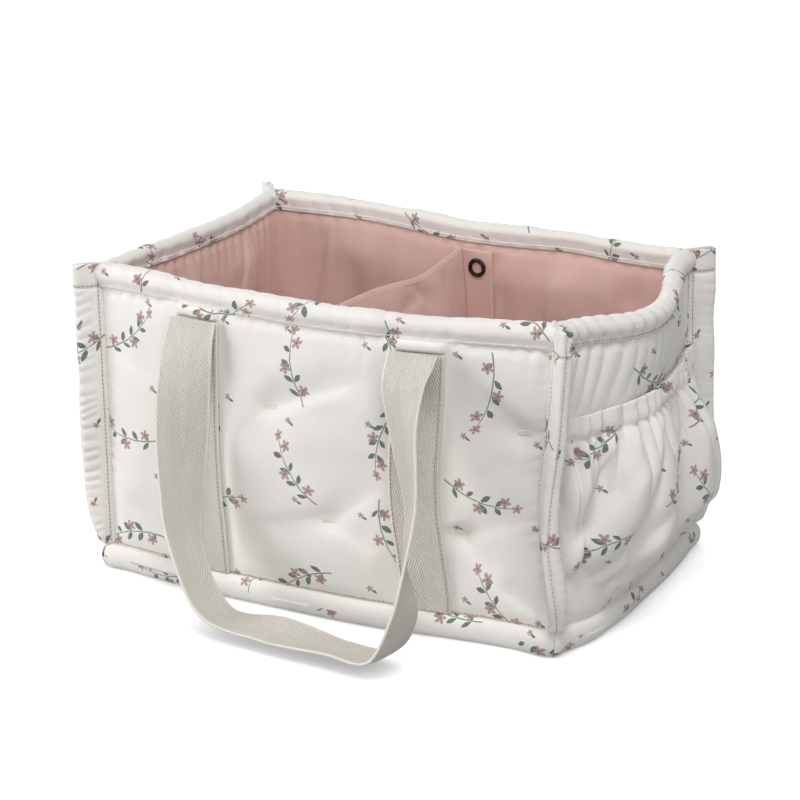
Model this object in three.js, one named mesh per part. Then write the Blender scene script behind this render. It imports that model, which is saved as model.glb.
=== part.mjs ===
// A soft diaper caddy: four padded walls of printed cotton on a stiffened base, bound edges,
// a lift-out divider on press studs, a gathered pocket at each end and two webbing handles.
// Millimetres. X runs along the length, -Y is the front, Z is up, and the origin is on the floor
// under the middle.

import * as THREE from "three";
import { mergeVertices } from "three/addons/utils/BufferGeometryUtils.js";

// Body
const seamLength = 366;            // between the corner seams along X
const seamWidth = 230;             // between the corner seams along Y, at the foot
const bodyHeight = 236;            // floor to the top of the front binding
const clothThickness = 1.2;
const pieceGap = 0.3;              // air between pieces that touch
const facetGap = 0.3;             // more of it where their flat facets differ
const waddingHalf = 3;             // half the wadding's thickness where it is sewn down
const wallCrown = 2;               // how much further the wadding swells outward
const cornerLean = 11;             // unit of a corner's shift from a true rectangle

// Top binding
const bindingDropOutside = 17;
const bindingDropInside = 15;
const bindingArch = 4;             // rise of the fold above the wadding
const endElasticWidth = 5;
const endElasticThickness = 1.6;

// Bound seams at the corners and round the foot
const finReach = 15;
const finThickness = 8;
const finRise = 0.5;               // a fin's square top above the binding
const finSway = 5;                 // its gentle S-bend, across the diagonal
const finEndReach = 5;             // what is left of it at its foot
const finWingRoom = 2.2;           // its base opens clear of the walls where they start to bow
const bandTop = 18;
const bandDepth = 6.5;
const bandFootRoom = 0.6;          // under the band

// Base
const baseWaddingThickness = 4;
const boardThickness = 2.5;
const boardMargin = 3;
const baseEdgeRoom = 0.8;          // between the wall linings and what lies between them

// Webbing
const webbingWidth = 38;
const webbingThickness = 2.2;
const strapSpacing = 180;           // between the centres of the two sewn strips
const foldClearance = 0.8;         // between a loop's end and the strip that it folds out of
const strapDrop = 25;              // from the top of the front binding to the webbing's fold
const handleReach = 196;           // the loop's furthest run from the middle of the caddy

// End pockets
const pocketReach = 242;           // outermost point from the middle of the caddy
const pocketMouthDrop = 73;        // from the top of the body to the mouth at the corner seams
const pocketMouthRise = 11;        // higher in the middle
const pocketMouthRoom = 12;        // between the wall and the mouth
const pocketHemDepth = 14;
const pocketSideMargin = 7;        // from the corner seam
const pocketElasticThickness = 1.5;
const pocketElasticWidth = 10;

// Divider
const dividerPlace = -9;           // its front end, along X
const dividerSkew = 6;             // how far its back end lies to the right of that
const dividerHalf = 3.5;           // half its wadding
const dividerDrop = 22;            // from the top of the body to the divider's corners
const dividerSag = 8;
const dividerFootRoom = 1;
const flangeWidth = 28;            // from the divider's middle plane to a flange's free edge
const flangeThickness = 2.4;

// Press studs, ring sort: a ring on the flange's face, a socket behind it, a stud on the wall
const ringRadius = 7.5;
const ringHoleRadius = 4.3;
const ringHeight = 1.4;
const snapRadius = 6;
const snapHoleRadius = 2.2;
const snapThickness = 1.2;
const snapTopDrop = 13;            // upper stud below the divider's top
const snapSpacing = 140;
const snapInset = 15;              // from the divider's end

// Mesh fineness
const wallColumns = 12;
const handleSteps = 44;
const pocketColumns = 16;
const pocketRows = 8;
const roundSides = 12;

const wallOutside = waddingHalf + pieceGap + clothThickness;
const wallInside = wallOutside;
const bindingOutside = wallOutside + pieceGap + clothThickness;
const strapTop = bodyHeight - strapDrop;
const dividerTop = bodyHeight - dividerDrop;
const pocketMouthHeight = bodyHeight - pocketMouthDrop;
const archSpring = bodyHeight - clothThickness - bindingArch;
const wallHeadHeight = archSpring - pieceGap;
const wallFootHeight = clothThickness + pieceGap;
const baseBoardBottom = wallFootHeight + baseWaddingThickness + pieceGap;
const baseLiningBottom = baseBoardBottom + boardThickness + pieceGap;
const baseLiningTop = baseLiningBottom + clothThickness;
const snapSpace = 2 * snapThickness + 3 * pieceGap;

// Plan of the walls. Each runs from one corner seam to the next, anticlockwise from above, so
// that outward is to the right of its run. Bows are outward, and shares run along the wall.
const corners = {
  frontLeft: { name: "front_left", x: -1, y: -1, footShares: [0.3, -0.35], headShares: [0.05, 0.15] },
  frontRight: { name: "front_right", x: 1, y: -1, footShares: [0, 0.1], headShares: [0.1, 0.95] },
  backRight: { name: "back_right", x: 1, y: 1, footShares: [0, 0], headShares: [0.1, -0.95] },
  backLeft: { name: "back_left", x: -1, y: 1, footShares: [0, 0], headShares: [-0.8, 1.4] },
};
// The front right seam buckles inward at mid height. Shares run from the floor to the top.
const seamBuckle = 9;
const seamBuckleShares = [0, 0.15, -0.25, -0.85, -1, -0.7, -0.35, -0.1, 0];
const walls = {
  front: {
    from: "frontLeft", to: "frontRight", outward: [0, -1],
    footBow: 11, footShares: [0, 0.4, 0.8, 0.95, 1, 0.85, 0.4, 0, 0],
    headBow: 20, headShares: [0, 0.27, 0.64, 0.86, 0.95, 0.97, 0.8, 0.42, 0],
    headSag: 2, sagShares: [0, 0, 0.3, 0.5, 1, 0.8, 0.6, 0.2, 0],
  },
  right: {
    from: "frontRight", to: "backRight", outward: [1, 0],
    footBow: 12, footShares: [0, 0.85, 1, 1, 0.95, 0.85, 0.7, 0.4, 0],
    headBow: 35, headShares: [0, 0.3, 0.82, 1, 0.92, 0.7, 0.4, 0.12, 0],
    headSag: 4, sagShares: [0, 0.3, 0.7, 1, 1, 0.9, 0.6, 0.3, 0],
  },
  back: {
    from: "backRight", to: "backLeft", outward: [0, 1],
    footBow: 7, footShares: [0, 0.2, 0.3, -0.2, -0.5, -0.1, 0.6, 0.6, 0],
    headBow: 7, headShares: [0, 0.2, 0.5, -0.1, -0.5, 0, 0.9, 0.8, 0],
    headSag: 2, sagShares: [0, 0.4, -0.3, 0.4, 0.6, -0.2, -0.3, 0, 0],
  },
  left: {
    from: "backLeft", to: "frontLeft", outward: [-1, 0],
    footBow: 6, footShares: [0, 0.5, 0.9, 1, 1, 1, 0.9, 0.5, 0],
    headBow: 4, headShares: [0, -0.5, -1, -0.7, -0.3, 0.1, 0.5, 0.3, 0],
    headSag: 4, sagShares: [0, 0.4, 0.8, 1, 1, 0.9, 0.6, 0.3, 0],
  },
};

// Colours from the cloth, webbing and studs
const printedCotton = { color: 0xefebe4, roughness: 0.95, metalness: 0 };
const pinkLining = { color: 0xc59a90, roughness: 0.95, metalness: 0 };
const whiteWadding = { color: 0xf7f7f5, roughness: 1, metalness: 0 };
const ecruWebbing = { color: 0xd9d2c6, roughness: 0.9, metalness: 0 };
const greyBoard = { color: 0x8f8b86, roughness: 0.7, metalness: 0 };
const whiteElastic = { color: 0xf2f2ee, roughness: 0.8, metalness: 0 };
const darkBronze = { color: 0x2b2724, roughness: 0.4, metalness: 0.9 };

const caddy = new THREE.Group();

function mix(from, to, share) {
  return from + (to - from) * share;
}

// A smooth reading of a table of shares at a place from 0 to 1 along it
function along(shares, place) {
  const curve = new THREE.SplineCurve(shares.map((share, index) => new THREE.Vector2(index, share)));
  return curve.getPoint(THREE.MathUtils.clamp(place, 0, 1)).y;
}

function closed(geometry) {
  geometry.deleteAttribute("normal");
  geometry.deleteAttribute("uv");
  const joined = mergeVertices(geometry);
  joined.computeVertexNormals();
  return joined;
}

function addPiece(name, geometry, finish, group = caddy) {
  const piece = new THREE.Mesh(closed(geometry), new THREE.MeshStandardMaterial(finish));
  piece.name = name;
  group.add(piece);
  return piece;
}

// Splits the cells of a block's upper skin along the same diagonals as its lower skin, so that
// layers laid on one another nest
function matchDiagonals(block) {
  const upperSkin = block.groups[2];
  const cornersPerCell = 6;
  for (let first = upperSkin.start; first < upperSkin.start + upperSkin.count; first += cornersPerCell) {
    const [a, b, d, , c] = block.index.array.slice(first, first + cornersPerCell);
    block.index.array.set([a, b, c, a, c, d], first);
  }
}

// A block of cells whose corners are moved by a rule: the rule gets three places from 0 to 1
function shaped(cellsAlong, cellsThrough, cellsUp, rule) {
  const block = new THREE.BoxGeometry(1, 1, 1, cellsAlong, cellsThrough, cellsUp);
  matchDiagonals(block);
  const corner = new THREE.Vector3();
  const position = block.attributes.position;
  for (let index = 0; index < position.count; index += 1) {
    corner.fromBufferAttribute(position, index);
    const moved = rule(corner.x + 0.5, corner.y + 0.5, corner.z + 0.5);
    position.setXYZ(index, moved.x, moved.y, moved.z);
  }
  return block;
}

function cornerAt(name, height) {
  const corner = corners[name];
  const rise = height / bodyHeight;
  const buckle = name === "frontRight" ? seamBuckle * along(seamBuckleShares, rise) : 0;
  return new THREE.Vector2(
    corner.x * seamLength / 2 + cornerLean * mix(corner.footShares[0], corner.headShares[0], rise) + buckle,
    corner.y * seamWidth / 2 + cornerLean * mix(corner.footShares[1], corner.headShares[1], rise),
  );
}

// A point on a wall's middle surface, in plan
function planAt(wall, place, height) {
  const start = cornerAt(wall.from, height);
  const end = cornerAt(wall.to, height);
  const rise = height / bodyHeight;
  const footDepth = wall.footBow * along(wall.footShares, place);
  const headDepth = wall.headBow * along(wall.headShares, place);
  const depth = mix(footDepth, headDepth, rise);
  return new THREE.Vector2(
    mix(start.x, end.x, place) + wall.outward[0] * depth,
    mix(start.y, end.y, place) + wall.outward[1] * depth,
  );
}

// A point beside a wall: out is the distance outward from its middle surface. At a corner seam
// the point lies on the mitre, half a gap short of the next wall.
function besideWall(wall, place, height, out) {
  const stepShare = 0.002;
  const point = planAt(wall, place, height);
  const before = planAt(wall, Math.max(place - stepShare, 0), height);
  const after = planAt(wall, Math.min(place + stepShare, 1), height);
  const run = after.clone().sub(before).normalize();
  let offset = new THREE.Vector2(run.y, -run.x).multiplyScalar(out);
  const wallRun = new THREE.Vector2(-wall.outward[1], wall.outward[0]);
  if (place <= 0) {
    offset = new THREE.Vector2(...wall.outward).sub(wallRun).multiplyScalar(out);
    offset.addScaledVector(wallRun, pieceGap);
  }
  if (place >= 1) {
    offset = new THREE.Vector2(...wall.outward).add(wallRun).multiplyScalar(out);
    offset.addScaledVector(wallRun, -pieceGap);
  }
  const sag = wall.headSag * along(wall.sagShares, place) * height / bodyHeight;
  return new THREE.Vector3(point.x + offset.x, point.y + offset.y, height - sag);
}

// A share that rises steeply from 0 at either end of a span to 1 over most of its middle
function swell(place, steepness) {
  const fromMiddle = THREE.MathUtils.clamp(2 * place - 1, -1, 1);
  return 1 - fromMiddle ** steepness;
}

// How far the printed side swells out beyond its sewn edges
function crownAt(place, height) {
  const rise = (height - bandTop) / (bodyHeight - bindingDropOutside - bandTop);
  return wallCrown * swell(rise, 4) * swell(place, 6);
}

// Heights of a wall's rows of cells, with shares of the rise from the foot band to the binding
const wallRowShares = [0, 0.19, 0.53, 0.82, 1];
const wallHeights = [
  wallFootHeight,
  ...wallRowShares.map((share) => mix(bandTop, bodyHeight - bindingDropOutside, share)),
  wallHeadHeight,
];

function rowHeight(heights, share) {
  return heights[Math.round(share * (heights.length - 1))];
}

// A layer of a wall between two distances from its middle surface
function wallLayer(wall, inner, outer) {
  return shaped(wallColumns, 1, wallHeights.length - 1, (place, inward, up) => {
    const height = rowHeight(wallHeights, up);
    const out = mix(outer(place, height), inner(place, height), inward);
    return besideWall(wall, place, height, out);
  });
}

function addWalls() {
  for (const [side, wall] of Object.entries(walls)) {
    const core = wallLayer(
      wall,
      () => -waddingHalf,
      (place, height) => waddingHalf + crownAt(place, height),
    );
    addPiece(`${side}_wall_wadding`, core, whiteWadding);
    const outside = wallLayer(
      wall,
      (place, height) => waddingHalf + pieceGap + crownAt(place, height),
      (place, height) => wallOutside + crownAt(place, height),
    );
    addPiece(`${side}_wall_cover`, outside, printedCotton);
    const lining = wallLayer(wall, () => -wallInside, () => -waddingHalf - pieceGap);
    addPiece(`${side}_wall_lining`, lining, pinkLining);
  }
}

// The section of cloth folded over an edge: up one leg, over an arch and down the other leg.
// Skin 0 is its inner face, at the half width and rise given, and 1 its outer face.
const archCells = 4;
const foldCells = archCells + 2;

function foldSection(share, skin, fold) {
  const step = Math.round(share * foldCells);
  const side = fold.half + skin * clothThickness;
  const rise = fold.rise + skin * clothThickness;
  if (step === 0) {
    return { out: -side, height: fold.firstFoot };
  }
  if (step === foldCells) {
    return { out: side, height: fold.lastFoot };
  }
  const angle = Math.PI * (step - 1) / archCells;
  return { out: -side * Math.cos(angle), height: fold.spring + rise * Math.sin(angle) };
}

function addTopBindings() {
  const fold = {
    half: bindingOutside - clothThickness,
    rise: bindingArch,
    spring: archSpring,
    firstFoot: bodyHeight - bindingDropInside,
    lastFoot: bodyHeight - bindingDropOutside,
  };
  for (const [side, wall] of Object.entries(walls)) {
    const binding = shaped(wallColumns, 1, foldCells, (place, skin, share) => {
      const section = foldSection(share, skin, fold);
      return besideWall(wall, place, section.height, section.out);
    });
    addPiece(`${side}_top_binding`, binding, printedCotton);
  }
  for (const side of ["left", "right"]) {
    const elastic = shaped(wallColumns, 1, 1, (place, inward, up) => {
      const inset = mix(finThickness / seamWidth, 1 - finThickness / seamWidth, place);
      const height = archSpring + up * endElasticThickness;
      return besideWall(walls[side], inset, height, endElasticWidth * (0.5 - inward));
    });
    addPiece(`${side}_top_elastic`, elastic, whiteElastic);
  }
}

// Round the foot, a puffy bound seam: how far it stands out at a share of its height, and along
// a wall from seam to seam
const bandOutShares = [0.55, 0.92, 1, 0.9, 0.5];
const bandAlongShares = [0.55, 0.9, 1, 1, 1, 1, 1, 0.9, 0.55];

function addFootBands() {
  const rows = bandOutShares.length - 1;
  for (const [side, wall] of Object.entries(walls)) {
    const band = shaped(wallColumns, 1, rows, (place, inward, up) => {
      const innerOut = wallOutside + pieceGap;
      const bulge = bandOutShares[Math.round(up * rows)] * along(bandAlongShares, place);
      const outerOut = innerOut + bandDepth * bulge;
      const height = mix(bandFootRoom, bandTop - pieceGap, up);
      return besideWall(wall, place, height, mix(outerOut, innerOut, inward));
    });
    addPiece(`${side}_foot_band`, band, printedCotton);
  }
}

// Outline of the base at a distance from the walls' middle surfaces
function baseOutline(out) {
  const outline = [];
  for (const wall of Object.values(walls)) {
    for (let column = 0; column < wallColumns; column += 1) {
      const point = besideWall(wall, column / wallColumns, wallFootHeight, out);
      if (column > 0) {
        outline.push(new THREE.Vector2(point.x, point.y));
      } else {
        const corner = cornerAt(wall.from, wallFootHeight);
        const diagonal = corners[wall.from];
        outline.push(new THREE.Vector2(corner.x + diagonal.x * out, corner.y + diagonal.y * out));
      }
    }
  }
  return new THREE.Shape(outline);
}

function addBaseLayer(name, out, bottom, thickness, finish) {
  const layer = new THREE.ExtrudeGeometry(baseOutline(out), { depth: thickness, bevelEnabled: false });
  addPiece(name, layer, finish).position.z = bottom;
}

function addBase() {
  const inside = -wallInside - baseEdgeRoom;
  addBaseLayer("base_cover", wallOutside, 0, clothThickness, printedCotton);
  addBaseLayer("base_wadding", inside, wallFootHeight, baseWaddingThickness, whiteWadding);
  addBaseLayer("base_board", inside - boardMargin, baseBoardBottom, boardThickness, greyBoard);
  addBaseLayer("base_lining", inside, baseLiningBottom, clothThickness, pinkLining);
}

// A corner fin is a bound seam flange on the diagonal. Its foot end tapers and it sways a little.
const finReachShares = [0, 0.75, 0.95, 1, 1, 1, 1, 1, 1];
const finSwayShares = [-0.1, -0.9, -1, -0.3, 0.2, 0.3, 0.1, 0, 0];

function addFins() {
  const seat = bindingOutside + pieceGap;
  const half = finThickness / 2;
  const round = half / 2;
  const finBottom = bandTop + pieceGap;
  const finTop = bodyHeight + finRise;
  const section = [
    [0, 0],
    [finWingRoom - half, -half],
    [finReach - round, -half],
    [finReach, -half + round],
    [finReach, half - round],
    [finReach - round, half],
    [finWingRoom - half, half],
  ];
  const outline = new THREE.Shape(section.map(([reach, side]) => new THREE.Vector2(reach, side)));
  for (const [key, corner] of Object.entries(corners)) {
    const fin = new THREE.ExtrudeGeometry(outline, {
      depth: 1,
      steps: finReachShares.length - 1,
      bevelEnabled: false,
    });
    const position = fin.attributes.position;
    const diagonal = new THREE.Vector2(corner.x, corner.y).normalize();
    for (let index = 0; index < position.count; index += 1) {
      const up = position.getZ(index);
      const height = mix(finBottom, finTop, up);
      const seam = cornerAt(key, height);
      const free = Math.max(position.getX(index), 0);
      const stretch = mix(finEndReach / finReach, 1, along(finReachShares, up));
      const outward = seat * Math.SQRT2 + free * stretch + Math.min(position.getX(index), 0);
      const side = position.getY(index);
      const sway = finSway * along(finSwayShares, up) * free / finReach;
      position.setXYZ(
        index,
        seam.x + diagonal.x * outward - diagonal.y * (side + sway),
        seam.y + diagonal.y * outward + diagonal.x * (side + sway),
        height,
      );
    }
    addPiece(`${corner.name}_corner_fin`, fin, printedCotton);
  }
}

// Place along the front or back wall of a point at a distance from the middle, along X
function placeOf(wall, x, height = strapTop) {
  const start = cornerAt(wall.from, height).x;
  const end = cornerAt(wall.to, height).x;
  return (x - start) / (end - start);
}

// Heights of a sewn strip's rows, from the foot band to its fold
const stripRowShares = [0, 0.12, 0.3, 0.5, 0.7, 0.88, 1];

function addSewnStrips() {
  const heights = stripRowShares.map((share) => mix(bandTop, strapTop, share));
  for (const [side, wall] of Object.entries({ front: walls.front, back: walls.back })) {
    for (const [end, sign] of Object.entries({ left: -1, right: 1 })) {
      const middle = placeOf(wall, sign * strapSpacing / 2);
      const halfShare = webbingWidth / 2 / seamLength;
      const strip = shaped(2, 1, stripRowShares.length - 1, (across, inward, up) => {
        const place = mix(middle - halfShare, middle + halfShare, across);
        const height = rowHeight(heights, up);
        const inner = wallOutside + crownAt(place, height) + pieceGap + facetGap;
        return besideWall(wall, place, height, mix(inner + webbingThickness, inner, inward));
      });
      addPiece(`${side}_${end}_sewn_strip`, strip, ecruWebbing);
    }
  }
}

// The front loop, from the left fold to the right one. Spread is a share of half the straps'
// spacing, reach a share of the way from the fold to the furthest run, height a share of the
// fold's height. Turn and lift give the webbing's width direction in degrees: turn in plan, lift
// above level.
const handleRoute = [
  { spreadShare: -1, reachShare: 0, heightShare: 1, turn: 0, lift: 0 },
  { spreadShare: -1, reachShare: 0.14, heightShare: 0.9, turn: 8, lift: 1 },
  { spreadShare: -1, reachShare: 0.26, heightShare: 0.75, turn: 30, lift: 6 },
  { spreadShare: -0.98, reachShare: 0.42, heightShare: 0.5, turn: 60, lift: 10 },
  { spreadShare: -0.88, reachShare: 0.63, heightShare: 0.25, turn: 84, lift: 15 },
  { spreadShare: -0.53, reachShare: 0.84, heightShare: 0.06, turn: 86, lift: 11 },
  { spreadShare: 0.07, reachShare: 0.92, heightShare: 0.05, turn: 87, lift: -4 },
  { spreadShare: 0.66, reachShare: 0.97, heightShare: 0.04, turn: 87, lift: 10 },
  { spreadShare: 1.08, reachShare: 1, heightShare: 0.055, turn: 87, lift: 5 },
  { spreadShare: 1.25, reachShare: 0.93, heightShare: 0.2, turn: 91, lift: 11 },
  { spreadShare: 1.22, reachShare: 0.8, heightShare: 0.37, turn: 120, lift: 17 },
  { spreadShare: 1.2, reachShare: 0.6, heightShare: 0.54, turn: 131, lift: 16 },
  { spreadShare: 1.07, reachShare: 0.4, heightShare: 0.77, turn: 150, lift: 18 },
  { spreadShare: 1, reachShare: 0.2, heightShare: 0.91, turn: 170, lift: 6 },
  { spreadShare: 1, reachShare: 0, heightShare: 1, turn: 180, lift: 0 },
];

function handleGeometry(foldDepth) {
  const stations = handleRoute.map(
    (stop) => new THREE.Vector3(
      stop.spreadShare * strapSpacing / 2,
      -mix(foldDepth, handleReach, stop.reachShare),
      stop.heightShare * strapTop,
    ),
  );
  const route = new THREE.CatmullRomCurve3(stations, false, "centripetal");
  const turns = handleRoute.map((stop) => stop.turn);
  const lifts = handleRoute.map((stop) => stop.lift);
  return shaped(handleSteps, 1, 1, (share, through, across) => {
    const middle = route.getPoint(share);
    const run = route.getTangent(share);
    const turn = THREE.MathUtils.degToRad(along(turns, share));
    const lift = THREE.MathUtils.degToRad(along(lifts, share));
    const width = new THREE.Vector3(
      -Math.cos(turn) * Math.cos(lift),
      -Math.sin(turn) * Math.cos(lift),
      Math.sin(lift),
    );
    width.addScaledVector(run, -width.dot(run)).normalize();
    const face = new THREE.Vector3().crossVectors(width, run);
    return middle
      .addScaledVector(width, (across - 0.5) * webbingWidth)
      .addScaledVector(face, (through - 0.5) * webbingThickness);
  });
}

// How far from the middle the webbing folds over, beyond the furthest edge of a wall's strips
function foldDepthAt(wall) {
  const edges = [];
  for (const sign of [-1, 1]) {
    for (const edgeShare of [-0.5, 0, 0.5]) {
      edges.push(sign * strapSpacing / 2 + edgeShare * webbingWidth);
    }
  }
  const depths = edges.map((edge) => {
    const place = placeOf(wall, edge);
    const out = wallOutside + crownAt(place, strapTop) + pieceGap + facetGap + webbingThickness;
    return Math.abs(besideWall(wall, place, strapTop, out).y);
  });
  return Math.max(...depths) + foldClearance + webbingThickness / 2;
}

function addHandles() {
  addPiece("front_handle_loop", handleGeometry(foldDepthAt(walls.front)), ecruWebbing);
  const backLoop = addPiece("back_handle_loop", handleGeometry(foldDepthAt(walls.back)), ecruWebbing);
  backLoop.rotation.z = Math.PI;
}

// An end pocket bellies out in two lobes either side of its middle seam. Rise runs from the foot
// band to the mouth.
const lobeShares = [0.05, 0.5, 0.8, 0.75, 0.45, 0.85, 1, 0.6, 0.05];
const bellyShares = [0, 0.45, 0.8, 0.98, 1, 0.9, 0.72, 0.5, 0.32];

function pocketMouth(place) {
  return pocketMouthHeight + pocketMouthRise * Math.sin(Math.PI * place);
}

const pocketSeat = wallOutside + wallCrown + pieceGap;

// Place along the wall of a pocket's column, given as a share of the columns
function pocketPlace(columnShare) {
  const margin = pocketSideMargin / seamWidth;
  return mix(margin, 1 - margin, columnShare);
}

// The share of its belly that a pocket has at a place from the front seam to the back one
function bellyShareAt(wall, place, height) {
  const rise = (height - bandTop) / (pocketMouth(place) - bandTop);
  const fromFront = wall === walls.left ? 1 - place : place;
  return along(bellyShares, rise) * along(lobeShares, fromFront);
}

// The belly that brings a pocket's outermost point to the pocket reach
function bellyOf(wall) {
  const trial = pocketMouthRoom;
  let belly = pocketReach;
  for (let column = 1; column < pocketColumns; column += 1) {
    for (let row = 1; row < pocketRows; row += 1) {
      const place = pocketPlace(column / pocketColumns);
      const height = mix(bandTop, pocketMouth(place), row / pocketRows);
      const flat = Math.abs(besideWall(wall, place, height, pocketSeat + clothThickness).x);
      const bellied = Math.abs(besideWall(wall, place, height, pocketSeat + clothThickness + trial).x);
      const needed = trial * (pocketReach - flat) / (bellied - flat);
      belly = Math.min(belly, needed / bellyShareAt(wall, place, height));
    }
  }
  return belly;
}

// The pocket's inner face: its distance outward from the wall's middle surface. It stands off the
// wall by the mouth's room, but for its sewn edges.
function pocketInner(wall, belly, place, height) {
  const edgeShare = 0.33;
  const rise = (height - bandTop) / (pocketMouth(place) - bandTop);
  const fromEdge = Math.min(Math.sin(Math.PI * place) / edgeShare, rise / edgeShare, 1);
  return pocketSeat + Math.max(belly * bellyShareAt(wall, place, height), pocketMouthRoom * fromEdge);
}

function addPocket(side) {
  const wall = walls[side];
  const belly = bellyOf(wall);
  const hemRows = 3;
  const hemSpace = pocketElasticThickness + 2 * pieceGap;
  const cloth = shaped(pocketColumns, 1, pocketRows + hemRows, (columnShare, skin, share) => {
    const place = pocketPlace(columnShare);
    const mouth = pocketMouth(place);
    const row = Math.round(share * (pocketRows + hemRows));
    const mouthInner = pocketInner(wall, belly, place, mouth);
    const face = mix(0, clothThickness, 1 - skin);
    if (row <= pocketRows) {
      const height = mix(bandTop, mouth - face / 2, row / pocketRows);
      const hemShift = row >= pocketRows - 1 ? hemSpace + clothThickness : 0;
      return besideWall(wall, place, height, pocketInner(wall, belly, place, height) + hemShift + face);
    }
    const hemRow = row - pocketRows;
    const inside = mouthInner + clothThickness - face;
    if (hemRow === 1) {
      const top = mouth + clothThickness + pieceGap + mix(-clothThickness, 0, 1 - skin);
      const middle = mouthInner + clothThickness + hemSpace / 2;
      return besideWall(wall, place, top, middle);
    }
    const drop = hemRow === 2 ? 0 : pocketHemDepth;
    return besideWall(wall, place, mouth - drop, inside);
  });
  addPiece(`${side}_end_pocket`, cloth, printedCotton);
  const elastic = shaped(pocketColumns, 1, 1, (columnShare, inward, up) => {
    const place = pocketPlace(columnShare);
    const mouth = pocketMouth(place);
    const inner = pocketInner(wall, belly, place, mouth) + clothThickness + pieceGap;
    const height = mouth - pocketElasticWidth + up * (pocketElasticWidth - pieceGap);
    return besideWall(wall, place, height, inner + pocketElasticThickness * (1 - inward));
  });
  addPiece(`${side}_pocket_elastic`, elastic, whiteElastic);
}

// The divider's top edge dips towards the back
const dividerSagShares = [0, 0.1, 0.15, 0.25, 0.6, 1, 0.6, 0];
const dividerCells = 7;

// Distance along Y of a flange's inner face, where the divider ends
function flangeFace(wall, x, height) {
  const inward = wallInside + snapSpace + flangeThickness;
  return besideWall(wall, placeOf(wall, x), height, -inward).y;
}

// A point of the divider at a distance aside from its middle plane
function dividerPoint(aside, share, height) {
  const front = flangeFace(walls.front, dividerPlace + aside, height) + pieceGap;
  const back = flangeFace(walls.back, dividerPlace + dividerSkew + aside, height) - pieceGap;
  return new THREE.Vector3(dividerPlace + dividerSkew * share + aside, mix(front, back, share), height);
}

function addDivider() {
  const foot = baseLiningTop + dividerFootRoom;
  const coverHalf = dividerHalf + pieceGap;
  const topSpring = dividerTop - coverHalf - clothThickness;
  const springAt = (share) => topSpring - dividerSag * along(dividerSagShares, share);
  const wadding = shaped(2, dividerCells, 3, (through, share, up) => {
    const height = mix(foot + clothThickness, springAt(share) - pieceGap, up);
    return dividerPoint(mix(-dividerHalf, dividerHalf, through), share, height);
  });
  addPiece("divider_wadding", wadding, whiteWadding);
  const cover = shaped(dividerCells, 1, foldCells, (share, skin, across) => {
    const spring = springAt(share);
    const fold = { half: coverHalf, rise: coverHalf, spring, firstFoot: foot, lastFoot: foot };
    const section = foldSection(across, skin, fold);
    return dividerPoint(section.out, share, section.height);
  });
  addPiece("divider_cover", cover, pinkLining);
  for (const [side, wall] of Object.entries({ front: walls.front, back: walls.back })) {
    const end = dividerPlace + (wall === walls.back ? dividerSkew : 0);
    const near = end - coverHalf - clothThickness;
    const far = end + flangeWidth;
    const flange = shaped(3, 1, 4, (across, inward, up) => {
      const reach = wall === walls.front ? across : 1 - across;
      const out = -mix(wallInside + snapSpace, wallInside + snapSpace + flangeThickness, inward);
      return besideWall(wall, placeOf(wall, mix(near, far, reach)), mix(foot, dividerTop, up), out);
    });
    addPiece(`divider_${side}_flange`, flange, pinkLining);
    addPressStuds(side, wall);
  }
}

function ringGeometry(holeRadius, radius, thickness) {
  const edge = thickness / 3;
  const profile = [
    [holeRadius, 0],
    [radius, 0],
    [radius, thickness - edge],
    [radius - edge, thickness],
    [holeRadius + edge, thickness],
    [holeRadius, 0],
  ];
  return new THREE.LatheGeometry(profile.map(([across, rise]) => new THREE.Vector2(across, rise)), roundSides);
}

// A round piece on its axis, set on a wall's inner side with its base at a distance inward
function addRound(name, geometry, wall, height, inward, finish) {
  const end = dividerPlace + (wall === walls.back ? dividerSkew : 0);
  const place = placeOf(wall, end + snapInset, height);
  const seat = besideWall(wall, place, height, -inward);
  const facing = besideWall(wall, place, height, -inward - snapThickness).sub(seat).normalize();
  const piece = addPiece(name, geometry, finish);
  piece.position.copy(seat);
  piece.quaternion.setFromUnitVectors(new THREE.Vector3(0, 1, 0), facing);
}

function addPressStuds(side, wall) {
  const upper = dividerTop - snapTopDrop;
  for (const [level, height] of Object.entries({ upper, lower: upper - snapSpacing })) {
    const stud = wallInside + pieceGap;
    const socket = stud + snapThickness + pieceGap;
    const ring = wallInside + snapSpace + flangeThickness + pieceGap;
    const disc = ringGeometry(snapHoleRadius, snapRadius, snapThickness);
    const cap = ringGeometry(ringHoleRadius, ringRadius, ringHeight);
    addRound(`${side}_${level}_snap_stud`, disc, wall, height, stud, darkBronze);
    addRound(`${side}_${level}_snap_socket`, disc.clone(), wall, height, socket, darkBronze);
    addRound(`${side}_${level}_snap_ring`, cap, wall, height, ring, darkBronze);
  }
}

addWalls();
addTopBindings();
addFootBands();
addBase();
addFins();
addSewnStrips();
addHandles();
addPocket("left");
addPocket("right");
addDivider();

export default caddy;
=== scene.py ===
import math
from functools import partial

import bmesh
import bpy
import numpy as np
from bpy.props import FloatProperty, FloatVectorProperty, PointerProperty
from mathutils import Matrix, Vector


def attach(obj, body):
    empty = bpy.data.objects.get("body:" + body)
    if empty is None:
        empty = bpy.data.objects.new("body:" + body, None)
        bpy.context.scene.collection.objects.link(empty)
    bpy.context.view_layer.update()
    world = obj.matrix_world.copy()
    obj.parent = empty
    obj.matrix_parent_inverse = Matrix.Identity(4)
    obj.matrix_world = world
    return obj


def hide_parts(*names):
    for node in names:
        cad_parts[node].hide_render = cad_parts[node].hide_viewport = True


bl_info = {
    "name": "Diaper Caddy",
    "version": (1, 0, 0),
    "blender": (4, 5, 0),
    "location": "View3D > Sidebar > Caddy",
    "description": "Dresses the packed caddy in quilted cotton, lining, webbing and stitching",
    "category": "Object",
}

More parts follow.
